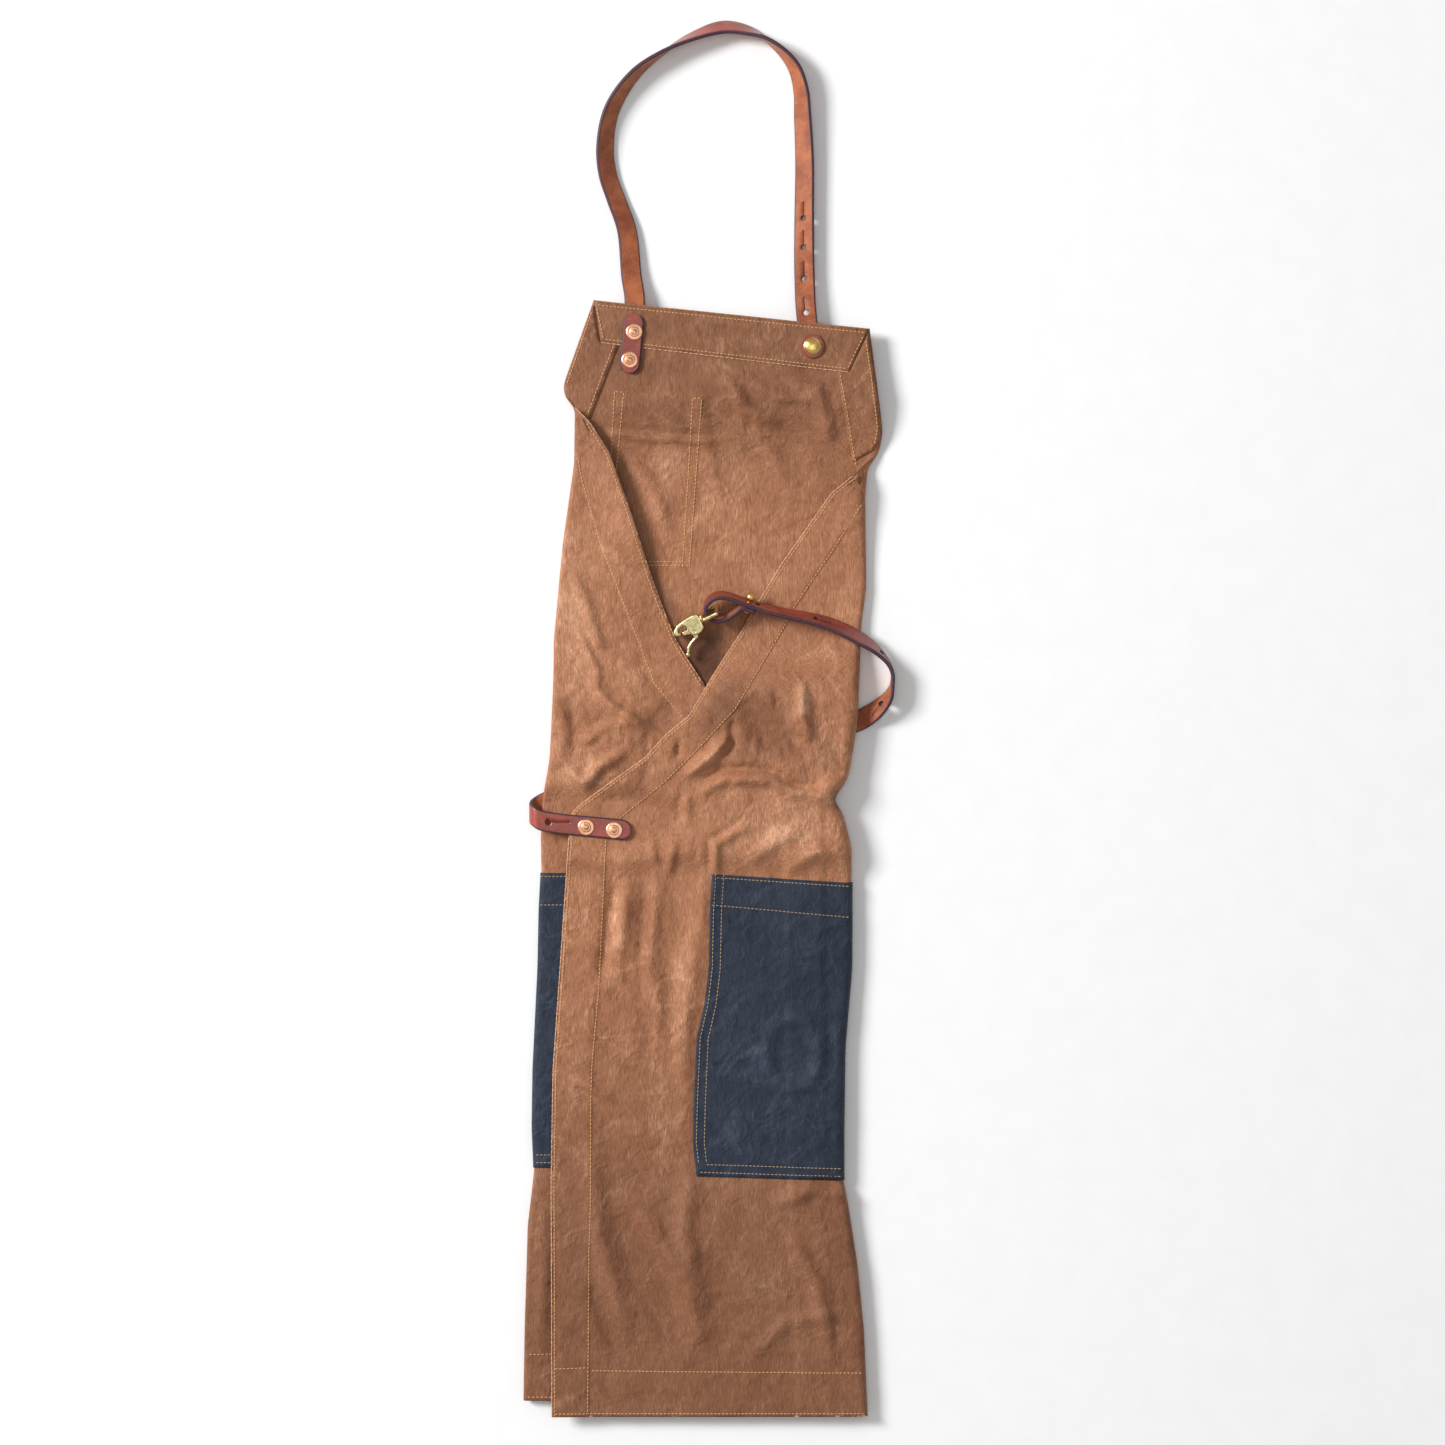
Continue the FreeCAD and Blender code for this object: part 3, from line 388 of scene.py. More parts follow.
def creases(x, y, rows):
    """Sum of soft ridges, or grooves where the height is below 0: (height, width, points)."""
    total = np.zeros(np.shape(x))
    for rise, width, points in rows:
        d, share = to_line(x, y, points)
        fade = np.sqrt(held(np.sin(np.pi * held(share))))
        fade = fade * (1 - CREASE_END) + CREASE_END
        total = total + rise * CREASE * np.exp(-(d / width) ** 2) * fade
    return total


def around(x, y, cx, cy, rx, ry):
    """1 at the middle of an ellipse, fading to 0 at its rim."""
    return soft_step(1 - np.hypot((x - cx) / rx, (y - cy) / ry))


# ---------------------------------------------------------------- the drape
CANVAS = 0.8
# cloth layers, in canvas thicknesses from the front's underside to the layer's middle
UNDER, FRONT, FRONT_FACING = -0.5, 0.5, 1.5
LEFT_FACING, LEFT_WING, LEFT_POCKET = 2.5, 3.5, 4.5
RIGHT_FACING, RIGHT_WING, RIGHT_POCKET = 5.5, 6.5, 7.5
# (y, height) stations: the front's underside, and the lift over the hidden ring and its tab
FRONT_HEIGHT = [(-560, 0.8), (-125, 0.8), (-100, 3.3), (14, 3.3), (60, 0.8), (200, 0.8),
                (252, 10.8), (340, 10.8)]
RING_BUMP = [(-125, 0), (-100, 4.4), (14, 4.4), (60, 0)]
# ellipses (x, y, half width, half height) where straps, rivets and the hook need flat cloth
FITTINGS = [(-60, 290, 26, 40), (80, 289, 22, 22), (-95, -82, 70, 22), (38, 108, 80, 62),
            (-16, 56, 34, 40)]
FLAT_TO, FREE_FROM = 0.8, 1.5  # how far out an ellipse keeps the cloth flat, and frees it
FOLD_BLEND = 12.0  # a wing's own waves fade out over this distance to its side fold
POCKET_STEP, FACING_STEP = 0.6, 0.75


def clear_of_fittings(x, y):
    """1 away from the fittings, 0 beside them."""
    free = np.ones(np.shape(x))
    for cx, cy, rx, ry in FITTINGS:
        d = np.hypot((x - cx) / rx, (y - cy) / ry)
        free = free * soft_step((d - FLAT_TO) / (FREE_FROM - FLAT_TO))
    return free


def raised(x, y, outline, seam, lift, soft=2.6):
    """Lift where a hidden layer lies below: inside outline, with a step along the seam line."""
    near, _ = to_line(x, y, seam)
    return lift * soft_step(0.5 + np.where(inside(x, y, outline), near, -near) / soft)


CHEST_POCKET = [(-74.5, 255), (-5, 249), (-15, 116.5), (-84, 122)]
LEFT_SEAM = [(-104, 215), (-100, 187.5), (-84.8, 135.6), (-60.6, 72.9), (-42.7, 26.4),
             (-24.8, 4.9), (10, -28), (59, -76), (61, -300), (69, -545)]
RIGHT_SEAM = [(125, 176), (118.5, 166), (97, 132), (66.5, 87.2), (59.4, 72.9), (19.9, 6.9),
              (-6.9, -22), (-33.7, -48.8), (-67.8, -76.6), (-79.5, -92), (-84.1, -165.5),
              (-86.2, -211.5), (-91.4, -270), (-92.4, -374.6), (-93.8, -416.7), (-94.8, -546)]


def front_waves(x, y):
    """Lift of the front panel and of all that lies on it."""
    soft = 0.45 * (1 + SWELL(x, y, 60, 1.6, 20)) + 0.25 * (1 + FOLDS(x, y, 22, 2.2, -35))
    bib = held((y - 205) / 40) * held((275 - y) / 12)
    bib = bib * held((x + 40) / 60)
    crumpled = bib * (3.0 * np.abs(FOLDS(x, y, 17, 1.8, 30)) + 1.2 * np.abs(FINE(x, y, 8, 1.5, 60)))
    lines = creases(x, y, [
        (1.6, 2.4, [(-79, 222), (-40, 217.5), (4, 215)]),
        (-0.9, 2.5, [(-79, 227), (-40, 222.5), (4, 220)]),
        (1.0, 5, [(-10, 262), (0, 205), (10, 150)]), (1.2, 6, [(40, 225), (65, 170), (72, 140)]),
        (1.0, 5, [(20, 150), (45, 110), (52, 85)]), (2.2, 4, [(82, 262), (90, 235), (94, 215)]),
        (1.9, 4, [(15, 262), (28, 240), (55, 228)]), (1.5, 4, [(-62, 205), (-40, 170), (-30, 130)]),
        (1.3, 3.5, [(35, 262), (50, 250), (78, 246)]),
    ])
    pocket = raised(x, y, CHEST_POCKET, CHEST_POCKET + CHEST_POCKET[:1], POCKET_STEP)
    return np.maximum((0.5 + soft + crumpled + lines) * clear_of_fittings(x, y), 0) + pocket


def left_waves(x, y):
    """Extra lift of the left wing over the front."""
    waist = around(x, y, -72, -14, 78, 92)
    folds = waist * (4.6 * np.abs(FOLDS(x, y, 22, 1.9, 40)) + 2.2 * np.abs(FINE(x, y, 9, 1.6, -20)))
    soft = 0.55 * (1 + SWELL(x, y, 45, 1.8, 60)) + 0.35 * (1 + FOLDS(x, y, 15, 2.4, 75))
    edge, _ = to_line(x, y, [(-104, 241), (-78, 207), (-46, 112), (-26, 61), (-4, 26)])
    lip = 6.0 * np.exp(-(edge / 16) ** 2)
    lip = lip * held((y - 92) / 50) * held((245 - y) / 40)
    lines = creases(x, y, [
        (2.4, 5, [(-116, 8), (-115, -14), (-120, -40)]),
        (2.6, 4, [(-112.5, -37.4), (-96.4, -51.7), (-85.6, -37.4), (-66, -26.7)]),
        (-1.8, 7, [(-114, 16), (-108, -4)]), (-1.6, 9, [(-52, -8), (-25, 10)]),
        (1.8, 4, [(-96, 30), (-70, 4), (-40, -12)]),
        (1.5, 3.5, [(-100, -20), (-80, -6), (-62, -4)]),
        (1.4, 5, [(-112, 120), (-96, 90), (-84, 50)]), (1.2, 4, [(-104, 70), (-88, 38), (-86, 20)]),
        (1.2, 4, [(-120, -70), (-104, -64), (-96, -56)]),
        (1.6, 6, [(-132, -380), (-131, -440), (-134, -500)]),
    ])
    facing = raised(x, y, LEFT_SEAM + LEFT_EDGE[::-1], LEFT_SEAM, FACING_STEP)
    return np.maximum((1.2 + folds + soft + lines) * clear_of_fittings(x, y), 0) + lip + facing


def right_waves(x, y):
    """Extra lift of the right wing over what is below it."""
    waist = around(x, y, 62, -26, 88, 84)
    folds = waist * (4.6 * np.abs(FOLDS(x, y, 26, 1.7, 35)) + 2.2 * np.abs(FINE(x, y, 10, 1.6, 10)))
    tall = around(x, y, -35, -190, 66, 150) * 2.4 * np.abs(FOLDS(x, y, 20, 5.0, 4))
    hem = around(x, y, 10, -440, 130, 120) * 1.8 * np.abs(FOLDS(x, y, 34, 1.5, -55))
    print_ring = [(66 + 21 * math.cos(a / 6 * math.pi), -262 + 28 * math.sin(a / 6 * math.pi))
                  for a in range(13)]
    ring, _ = to_line(x, y, print_ring)
    ring = 2.0 * np.exp(-(ring / 5) ** 2)
    lines = creases(x, y, [
        (2.8, 4, [(-17.6, -44.5), (0, -31), (16.4, -14.1)]),
        (-2.2, 3.5, [(18.2, -1.6), (17, -19.5), (11.1, -28.5)]),
        (-2.2, 13, [(28, 14), (44, -4), (52, -26)]),
        (-1.6, 3.5, [(50, 22), (57.6, -1.6), (66.5, -25)]),
        (3.0, 5, [(72, 26), (72.5, 0), (78, -18)]),
        (2.2, 5, [(-8, -58), (14, -47), (48, -48), (64, -58), (86, -60)]),
        (-1.6, 3, [(-6.9, -49.9), (11.1, -39.2), (48.7, -41), (62.9, -51.7), (98, -56)]),
        (2.6, 6, [(96, -40), (100, -52), (86, -70)]), (1.8, 3.5, [(5, -122), (4, -98), (30, -83)]),
        (-1.4, 3, [(0.3, -119.8), (0.3, -96.5), (28.9, -78.6)]), (1.9, 4, [(-17, -60), (-19, -88)]),
        (-1.5, 3, [(-23, -60.7), (-24.8, -85.7)]), (1.5, 2.8, [(-46.3, -92), (-42.7, -112)]),
        (1.4, 3.2, [(-26.6, -93), (-31.9, -121.6)]), (-1.5, 6, [(-53, -44.5), (-47, -44.5)]),
        (-1.5, 6, [(-27, -25), (-22, -24.9)]), (2.0, 4.5, [(-73, -62), (-68, -80)]),
        (-1.6, 5, [(-73, -129), (-84, -200)]), (1.5, 5, [(-64, -126), (-72, -205)]),
        (-1.5, 5, [(-50, -140), (-53.4, -190)]), (1.6, 6, [(-40, -120), (-45, -190), (-38, -250)]),
        (1.5, 4, [(-105, -281), (-92, -289), (-74, -296)]), (-1.3, 3, [(-105, -287), (-92, -295)]),
        (2.0, 6, [(108, -372), (80, -366), (50, -380)]), (-1.6, 5, [(104, -364), (78, -361)]),
        (1.4, 8, [(0, -110), (-20, -240), (-18, -330)]),
        (1.8, 8, [(-14, -358), (-20, -400), (-6, -460)]),
        (-2.0, 14, [(-70, -385), (-44, -440), (-24, -492)]),
        (2.0, 8, [(-54, -384), (-24, -430), (-4, -486)]),
        (1.4, 7, [(-92, -330), (-86, -400), (-64, -480)]),
        (-1.5, 5, [(-91.3, -443), (-80, -477), (-72.5, -494)]),
        (1.5, 6, [(60, -400), (84, -440), (96, -500)]),
        (1.2, 6, [(30, -500), (60, -470), (110, -462)]),
        (1.6, 5, [(60, -120), (84, -104), (106, -110)]),
        (1.4, 5, [(30, -112), (52, -96), (70, -88)]), (1.5, 5, [(100, 150), (92, 100), (98, 50)]),
    ])
    soft = 0.6 * (1 + SWELL(x, y, 55, 2.2, -10)) + 0.3 * (1 + FINE(x, y, 16, 2.5, 8))
    facing = raised(x, y, RIGHT_SEAM + RIGHT_EDGE[::-1], RIGHT_SEAM, FACING_STEP)
    loose = (1.8 + folds + tall + hem + ring + lines + soft) * clear_of_fittings(x, y)
    return np.maximum(loose, 0) + facing


def height(layer, x, y, wing=None):
    """Height of the middle of a cloth layer, with the waves of all that lies below it."""
    z = eased(y, FRONT_HEIGHT) + layer * CANVAS + front_waves(x, y)
    if wing in ("left", "right"):
        z = z + left_waves(x, y)
    if wing == "right":
        z = z + eased(y, RING_BUMP) + right_waves(x, y)
    return z


# ---------------------------------------------------------------- mesh helpers
SAME_PLACE, SLIVER = 1e-6, 1e-13
CLOTH_THICK, PATCH_THICK, POCKET_THICK = 0.75, 0.7, 0.72
ROW_SPACING = 0.87  # rows of a triangular grid against its spacing
RIM_GAP = 0.55  # inner points keep this share of the spacing away from the rim


def mesh_piece(name, points, faces, materials, body="apron", replaced=(), indices=None):
    """A smooth mesh from points in millimetres; it rides on body unless body is None."""
    mesh = bpy.data.meshes.new(name)
    mesh.from_pydata((np.asarray(points, float) * MM).tolist(), [], faces)
    for material in materials:
        mesh.materials.append(material)
    if indices is not None:
        mesh.polygons.foreach_set("material_index", indices)
    work = bmesh.new()
    work.from_mesh(mesh)
    bmesh.ops.remove_doubles(work, verts=work.verts, dist=SAME_PLACE)
    slivers = [f for f in work.faces if f.calc_area() < SLIVER]
    bmesh.ops.delete(work, geom=slivers, context="FACES")
    bmesh.ops.delete(work, geom=[v for v in work.verts if not v.link_faces], context="VERTS")
    work.to_mesh(mesh)
    work.free()
    mesh.polygons.foreach_set("use_smooth", [True] * len(mesh.polygons))
    piece = bpy.data.objects.new(name, mesh)
    bpy.context.scene.collection.objects.link(piece)
    if replaced:
        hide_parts(*replaced)
    if body:
        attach(piece, body)
    return piece


def thicken(piece, thickness):
    solid = piece.modifiers.new("thickness", "SOLIDIFY")
    solid.thickness = thickness * MM
    solid.offset = 0
    solid.use_even_offset = False


def grid_faces(rows, columns):
    at = np.arange(rows * columns).reshape(rows, columns)
    corners = [at[:-1, :-1], at[:-1, 1:], at[1:, 1:], at[1:, :-1]]
    return np.stack(corners, -1).reshape(-1, 4).tolist()


def tube_faces(rings, count, first=0):
    """Side faces and two caps of a closed tube: rings of count points each."""
    faces = [(first + a * count + i, first + a * count + (i + 1) % count,
              first + (a + 1) * count + (i + 1) % count, first + (a + 1) * count + i)
             for a in range(rings - 1) for i in range(count)]
    last = first + (rings - 1) * count
    return faces + [tuple(range(first, first + count))[::-1], tuple(range(last, last + count))]


def resampled(points, spacing, closed=False):
    """Points at an even spacing along straight runs, corners kept."""
    found = []
    for a, b in zip(points, points[1:] + points[:1] if closed else points[1:]):
        count = max(1, round(math.dist(a, b) / spacing))
        step = np.array(b) - np.array(a)
        found += [tuple(np.array(a) + step * i / count) for i in range(count)]
    return found if closed else found + [tuple(points[-1])]


def inside(x, y, ring):
    hit = np.zeros(np.shape(x), bool)
    for (x0, y0), (x1, y1) in zip(ring, ring[1:] + ring[:1]):
        if y0 != y1:
            crosses = ((y0 > y) != (y1 > y)) & (x < (x1 - x0) * (y - y0) / (y1 - y0) + x0)
            hit ^= crosses
    return hit


def patch(outline, surface, spacing=3.0):
    """Points and faces of a sheet inside outline whose height is surface(x, y)."""
    ring = resampled(outline, spacing, closed=True)
    low, high = np.min(ring, 0), np.max(ring, 0)
    ys = np.arange(low[1], high[1], spacing * ROW_SPACING)
    cloud = []
    for i, y in enumerate(ys):
        xs = np.arange(low[0] + (i % 2) * spacing / 2, high[0], spacing)
        cloud.append(np.stack([xs, np.full(len(xs), y)], 1))
    cloud = np.concatenate(cloud)
    near, _ = to_line(cloud[:, 0], cloud[:, 1], ring + ring[:1])
    cloud = cloud[inside(cloud[:, 0], cloud[:, 1], ring) & (near > RIM_GAP * spacing)]
    flat = [Vector(p) for p in ring] + [Vector(p) for p in cloud.tolist()]
    made = delaunay_2d_cdt(flat, [], [list(range(len(ring)))], 1, 1e-4)
    co = np.array([tuple(v) for v in made[0]])
    return np.column_stack([co, surface(co[:, 0], co[:, 1])]), made[2]


def patched(name, parts, replaced):
    """A brown cloth piece of one or more patches."""
    points, faces, area = [], [], 0.0
    for outline, surface in parts:
        some, sides = patch(outline, surface)
        faces += [[i + len(points) for i in side] for side in sides]
        points += some.tolist()
        ring = outline + outline[:1]
        area += abs(sum(x0 * y1 - x1 * y0 for (x0, y0), (x1, y1) in zip(ring, ring[1:]))) / 2
    piece = mesh_piece(name, points, faces, [BROWN_INNER], replaced=(replaced,))
    thicken(piece, PATCH_THICK)


# ---------------------------------------------------------------- canvas
LEFT_SIDE = [
    (-90.1, 325.3), (-113.8, 259.1), (-112.7, 250.2), (-104.4, 241.2), (-105.4, 198.3),
    (-114.3, 135.6), (-121.3, 60.9), (-121.4, 33.5), (-123.2, -11.1), (-124.4, -32.7),
    (-129.6, -61.4), (-131.4, -91.8), (-130.7, -122.2), (-132.2, -148.8), (-133.1, -194.8),
    (-137, -273.9), (-137.7, -320), (-136.3, -351.5), (-141.6, -396.8), (-143.9, -476.4),
    (-144.9, -544.5),
]
RIGHT_SIDE = [
    (124.7, 325.3), (129.1, 285.0), (135.1, 228.7), (132.8, 211.3), (125.7, 198.2),
    (122.9, 194.8), (121.1, 171.4), (122.1, 101.6), (118.2, 73.2), (115, -2.5), (109.6, -38.1),
    (106.9, -48.8), (96.1, -63.2), (104.1, -75.7), (110.4, -100.8), (110.4, -127.3),
    (110.2, -194.8), (104.9, -257.5), (104, -320), (104, -360.3), (108, -380.8),
    (115.1, -426.7), (120.1, -476.4), (123.1, -544.5),
]
LEFT_EDGE = [
    (-112.7, 252), (-104.4, 241.2), (-93.7, 230.5), (-78.5, 207.3), (-60.6, 157), (-46.4, 112.3),
    (-37.3, 87.3), (-26.6, 60.9), (-17.6, 46.1), (-4.3, 25.6), (88, -64), (90, -300), (98, -544.5),
]
RIGHT_EDGE = [
    (132.8, 211), (111.2, 187.8), (95.2, 175), (73.7, 144.5), (55.8, 119.4), (39.7, 92.6),
    (21.8, 62.2), (11.1, 46.1), (2.1, 31.8), (-15.8, 1.4), (-33.7, -13), (-49.8, -30.9),
    (-74.9, -48.8), (-101.8, -68.5), (-108, -75.7), (-111.2, -120.6), (-116.5, -199),
    (-121.7, -274.2), (-123.2, -361.9), (-123, -396.8), (-122.6, -544.5),
]
BOTTOM, TOP = -544.5, 325.3
BEND_Y, TOP_DROP = 198.0, 22.3
HEM_RISE, HEM_RISE_END = 11.6, -430
LEFT_WING_TOP, RIGHT_WING_TOP = 252, 211
SOFT = 3.0  # corners of the outlines are rounded over about this length
ROWS, TURN_COLUMNS, FRONT_COLUMNS = 380, 7, 58
WING_COLUMNS = {"left": 70, "right": 108}
REACH = {"left": 1.3, "right": 1.2}  # how far a side fold reaches in, against its bend
FULL_TURN = 20.0  # a wing at least this wide turns over fully


def right_y(s):
    """The bib's top slopes down to the right, so rows close up on that side."""
    return s - held((s - BEND_Y) / (TOP - BEND_Y)) * TOP_DROP


def left_y(s):
    """The hem slopes up to the left."""
    return s + eased(s, [(BOTTOM, HEM_RISE), (HEM_RISE_END, 0), (TOP, 0)])


def folded_side(side, y, wide, layer, wing, outward):
    """One row's points of a wing, those of its side fold, and the fold's reach inwards."""
    z_front = height(FRONT, np.array(side), np.array(y))
    z_wing = height(layer, np.array(side - 3 * outward), np.array(y), wing)
    z_wing = z_front + min(1.0, wide / FULL_TURN) * (z_wing - z_front)
    bend = (z_wing - z_front) / 2
    reach = min(bend * REACH[wing], wide / 2)
    run = np.linspace(*(0, wide - reach if wide else 0)[::outward], WING_COLUMNS[wing])
    x = side - outward * reach - outward * run
    z = z_front + 0 * x
    if wide:
        z = height(layer, x, np.full_like(x, y), wing)
        z = z_wing + (z - z_wing) * held(run / FOLD_BLEND)
    turn = np.linspace(0, np.pi, TURN_COLUMNS + 2)[1:-1]
    round_x = side - outward * reach * (1 - np.sin(turn))
    round_z = z_front + bend * (1 - outward * np.cos(turn))
    return (np.stack([x, np.full_like(x, y), z], 1),
            np.stack([round_x, np.full_like(turn, y), round_z], 1), reach)


def make_canvas():
    """Front panel and both folded wings as one continuous sheet, row by row up the apron."""
    left_side, right_side = line_x(LEFT_SIDE, SOFT), line_x(RIGHT_SIDE, SOFT)
    left_edge, right_edge = line_x(LEFT_EDGE, SOFT), line_x(RIGHT_EDGE, SOFT)
    rows = []
    for s in np.linspace(BOTTOM, TOP, ROWS):
        y0, y1 = float(left_y(s)), float(right_y(s))
        a, b = float(left_side(s)), float(right_side(s))
        wide_l = max(0.0, float(left_edge(s)) - a) if s < LEFT_WING_TOP else 0.0
        wide_r = max(0.0, b - float(right_edge(s))) if s < RIGHT_WING_TOP else 0.0
        left, left_fold, reach_l = folded_side(a, y0, wide_l, LEFT_WING, "left", -1)
        right, right_fold, reach_r = folded_side(b, y1, wide_r, RIGHT_WING, "right", 1)
        x = np.linspace(a + reach_l, b - reach_r, FRONT_COLUMNS)
        y = np.interp(x, (a, b), (y0, y1))
        front = np.stack([x, y, height(FRONT, x, y)], 1)
        rows.append(np.concatenate([left, left_fold, front, right_fold, right]))
    across, first = len(rows[0]), WING_COLUMNS["left"] + 3
    last = WING_COLUMNS["left"] + TURN_COLUMNS + FRONT_COLUMNS + 3
    faces = grid_faces(ROWS, across)
    bib = [int(first < i % (across - 1) < last) for i in range(len(faces))]
    piece = mesh_piece("apron_canvas", np.concatenate(rows), faces, [BROWN, BROWN_INNER],
                       replaced=("front_panel", "left_wing", "right_wing"),
                       indices=bib)
    thicken(piece, CLOTH_THICK)


ON_TOP = 0.6  # from a layer's middle to the thread on its upper side, in canvas thicknesses
BAND, BAND_LIFT = 1.55, 0.15


def on(layer, wing=None, lift=0.0):
    """The surface function of a cloth layer, as a height over x and y."""
    return lambda x, y: height(layer, x, y, wing) + lift


def make_facings():
    """Turned band and side facings inside the bib, facings under the wings, and the hem."""
    patched("bib_top_band", [([(-89.3, 324.6), (123.6, 302.5), (108.7, 269.0), (-49.8, 287.7),
                               (-84.8, 292.3)], on(BAND, None, BAND_LIFT))], "top_facing")
    patched("bib_facing_left", [([(-90.4, 321), (-85.8, 293), (-70.6, 291), (-93, 233), (-102, 240),
                                  (-111.6, 251), (-113.0, 259)], on(FRONT_FACING))],
            "left_facing")
    patched("bib_facing_right", [([(123.4, 299), (109.6, 270), (98.7, 269.5), (111.7, 200),
                                   (128, 209), (131, 214), (133.6, 223), (128, 269.5)],
                                  on(FRONT_FACING))], "right_facing")
    inner = [(69, -532), (61, -300), (59, -76), (-24.8, 4.9), (-60.6, 72.9), (-98, 203)]
    edge = [(-100.5, 234), (-79.5, 205.5), (-61.6, 156), (-47.4, 111.6), (-38.3, 86.6),
            (-27.6, 60.3), (-18.5, 45.3), (-5.1, 25), (87, -64), (89, -300), (96.5, -532)]
    patched("wing_facing_left", [(edge + inner, on(LEFT_FACING, "left"))],
            "left_wing_facing")
    inner = [(-94.8, -543.5), (-92, -300), (-84, -165), (-81, -97), (-6.9, -22), (66.5, 87.2),
             (116, 166)]
    edge = [(117, 191), (111.6, 187), (95.8, 174.2), (74.5, 143.9), (56.6, 118.9), (40.5, 92.1),
            (22.6, 61.7), (11.9, 45.5), (2.8, 31.2), (-15.1, 0.6), (-33.1, -13.8), (-49.2, -31.7),
            (-74.3, -49.6), (-101.2, -69.3), (-107.2, -76), (-110.4, -120.6), (-115.7, -199),
            (-120.9, -274.2), (-122.4, -361.9), (-122.2, -396.8), (-121.8, -543.5)]
    patched("wing_facing_right", [(edge + inner, on(RIGHT_FACING, "right"))],
            "right_wing_facing")
    patched("bottom_hem", [
        ([(-141, -532), (-141, -498), (117, -508), (119, -543)], on(FRONT_FACING)),
        ([(-141, -531.5), (-141, -497), (66, -497), (66, -531.5)], on(LEFT_FACING, "left")),
        ([(-92.5, -543), (-92.5, -509), (116.5, -509.5), (118, -543)], on(RIGHT_FACING, "right")),
    ], "hem_facing")


POCKET_ROWS, POCKET_COLUMNS, POCKET_TURN, POCKET_BACK = 84, 44, 7, 24
POCKET_HEM, DOUBLED = 24.0, 0.3
POCKET_GAP, POCKET_REACH = 0.95, 1.2


def make_pocket(name, node, fold, wing_edge, front_edge, corners, layer, wing, outward):
    """A patch pocket that wraps a fold: rows up the pocket, each from the wing round to the front.

    corners are its bottom and top heights at the wing edge and at the fold.
    """
    fold_x, edge_x = line_x(fold, SOFT), line_x(wing_edge, SOFT)
    (low_edge, high_edge), (low_fold, high_fold) = corners
    tall = high_fold - low_fold
    rows = []
    for share in np.linspace(0, 1, POCKET_ROWS):
        y_edge, y_fold = low_edge + share * (high_edge - low_edge), low_fold + share * tall
        far = float(fold_x(y_fold)) + outward * POCKET_GAP
        z_front = float(height(UNDER, np.array(far), np.array(y_fold)))
        z_wing = float(height(layer, np.array(far - 3 * outward), np.array(y_fold), wing))
        bend = (z_wing - z_front) / 2
        reach = outward * bend * POCKET_REACH
        turn_at = far - reach
        doubled = DOUBLED * held((share * tall - tall + POCKET_HEM) / 1.5)
        x = np.linspace(float(edge_x(y_edge)), turn_at, POCKET_COLUMNS)
        y = np.linspace(y_edge, y_fold, POCKET_COLUMNS)
        near = held(np.abs(x - turn_at) / FOLD_BLEND)
        z = z_wing + (height(layer, x, y, wing) - z_wing) * near + doubled * near
        turn = np.linspace(0, np.pi, POCKET_TURN + 2)[1:-1]
        back_x = np.linspace(turn_at, front_edge, POCKET_BACK)
        back_z = height(UNDER, back_x, np.full_like(back_x, y_fold))
        rows.append(np.stack([
            np.concatenate([x, turn_at + reach * np.sin(turn), back_x]),
            np.concatenate([y, np.full(POCKET_TURN + POCKET_BACK, y_fold)]),
            np.concatenate([z, z_front + bend * (1 + np.cos(turn)), back_z])], 1))
    piece = mesh_piece(name, np.concatenate(rows), grid_faces(POCKET_ROWS, len(rows[0])), [NAVY],
                       replaced=(node,))
    thicken(piece, POCKET_THICK)
    width = abs(far - float(edge_x(y_edge))) + abs(far - front_edge)


RIGHT_POCKET_EDGE = [(2.2, -121), (0.5, -148.8), (-0.5, -194.8), (-3.7, -221.9), (-9.9, -249),
                     (-12.1, -299.3), (-13, -330.6), (-9.9, -358)]


def make_pockets():
    make_pocket("leg_pocket_left", "left_leg_pocket", LEFT_SIDE, [(-22, -352), (-18, -120)], -26.0,
                ((-351, -121), (-351, -121)), LEFT_POCKET, "left", -1)
    make_pocket("leg_pocket_right", "right_leg_pocket", RIGHT_SIDE, RIGHT_POCKET_EDGE, -5.0,
                ((-357, -121.8), (-360.3, -128.3)), RIGHT_POCKET, "right", 1)
    patched("chest_pocket_cloth", [(CHEST_POCKET, on(UNDER))], "chest_pocket")


# ---------------------------------------------------------------- stitches
STITCH_SIDES = 6
# (place along the half length, girth) of a stitch's rings
STITCH_RINGS = ((-1.0, 0.25), (-0.8, 0.72), (-0.35, 1.0), (0.35, 1.0), (0.8, 0.72), (1.0, 0.25))


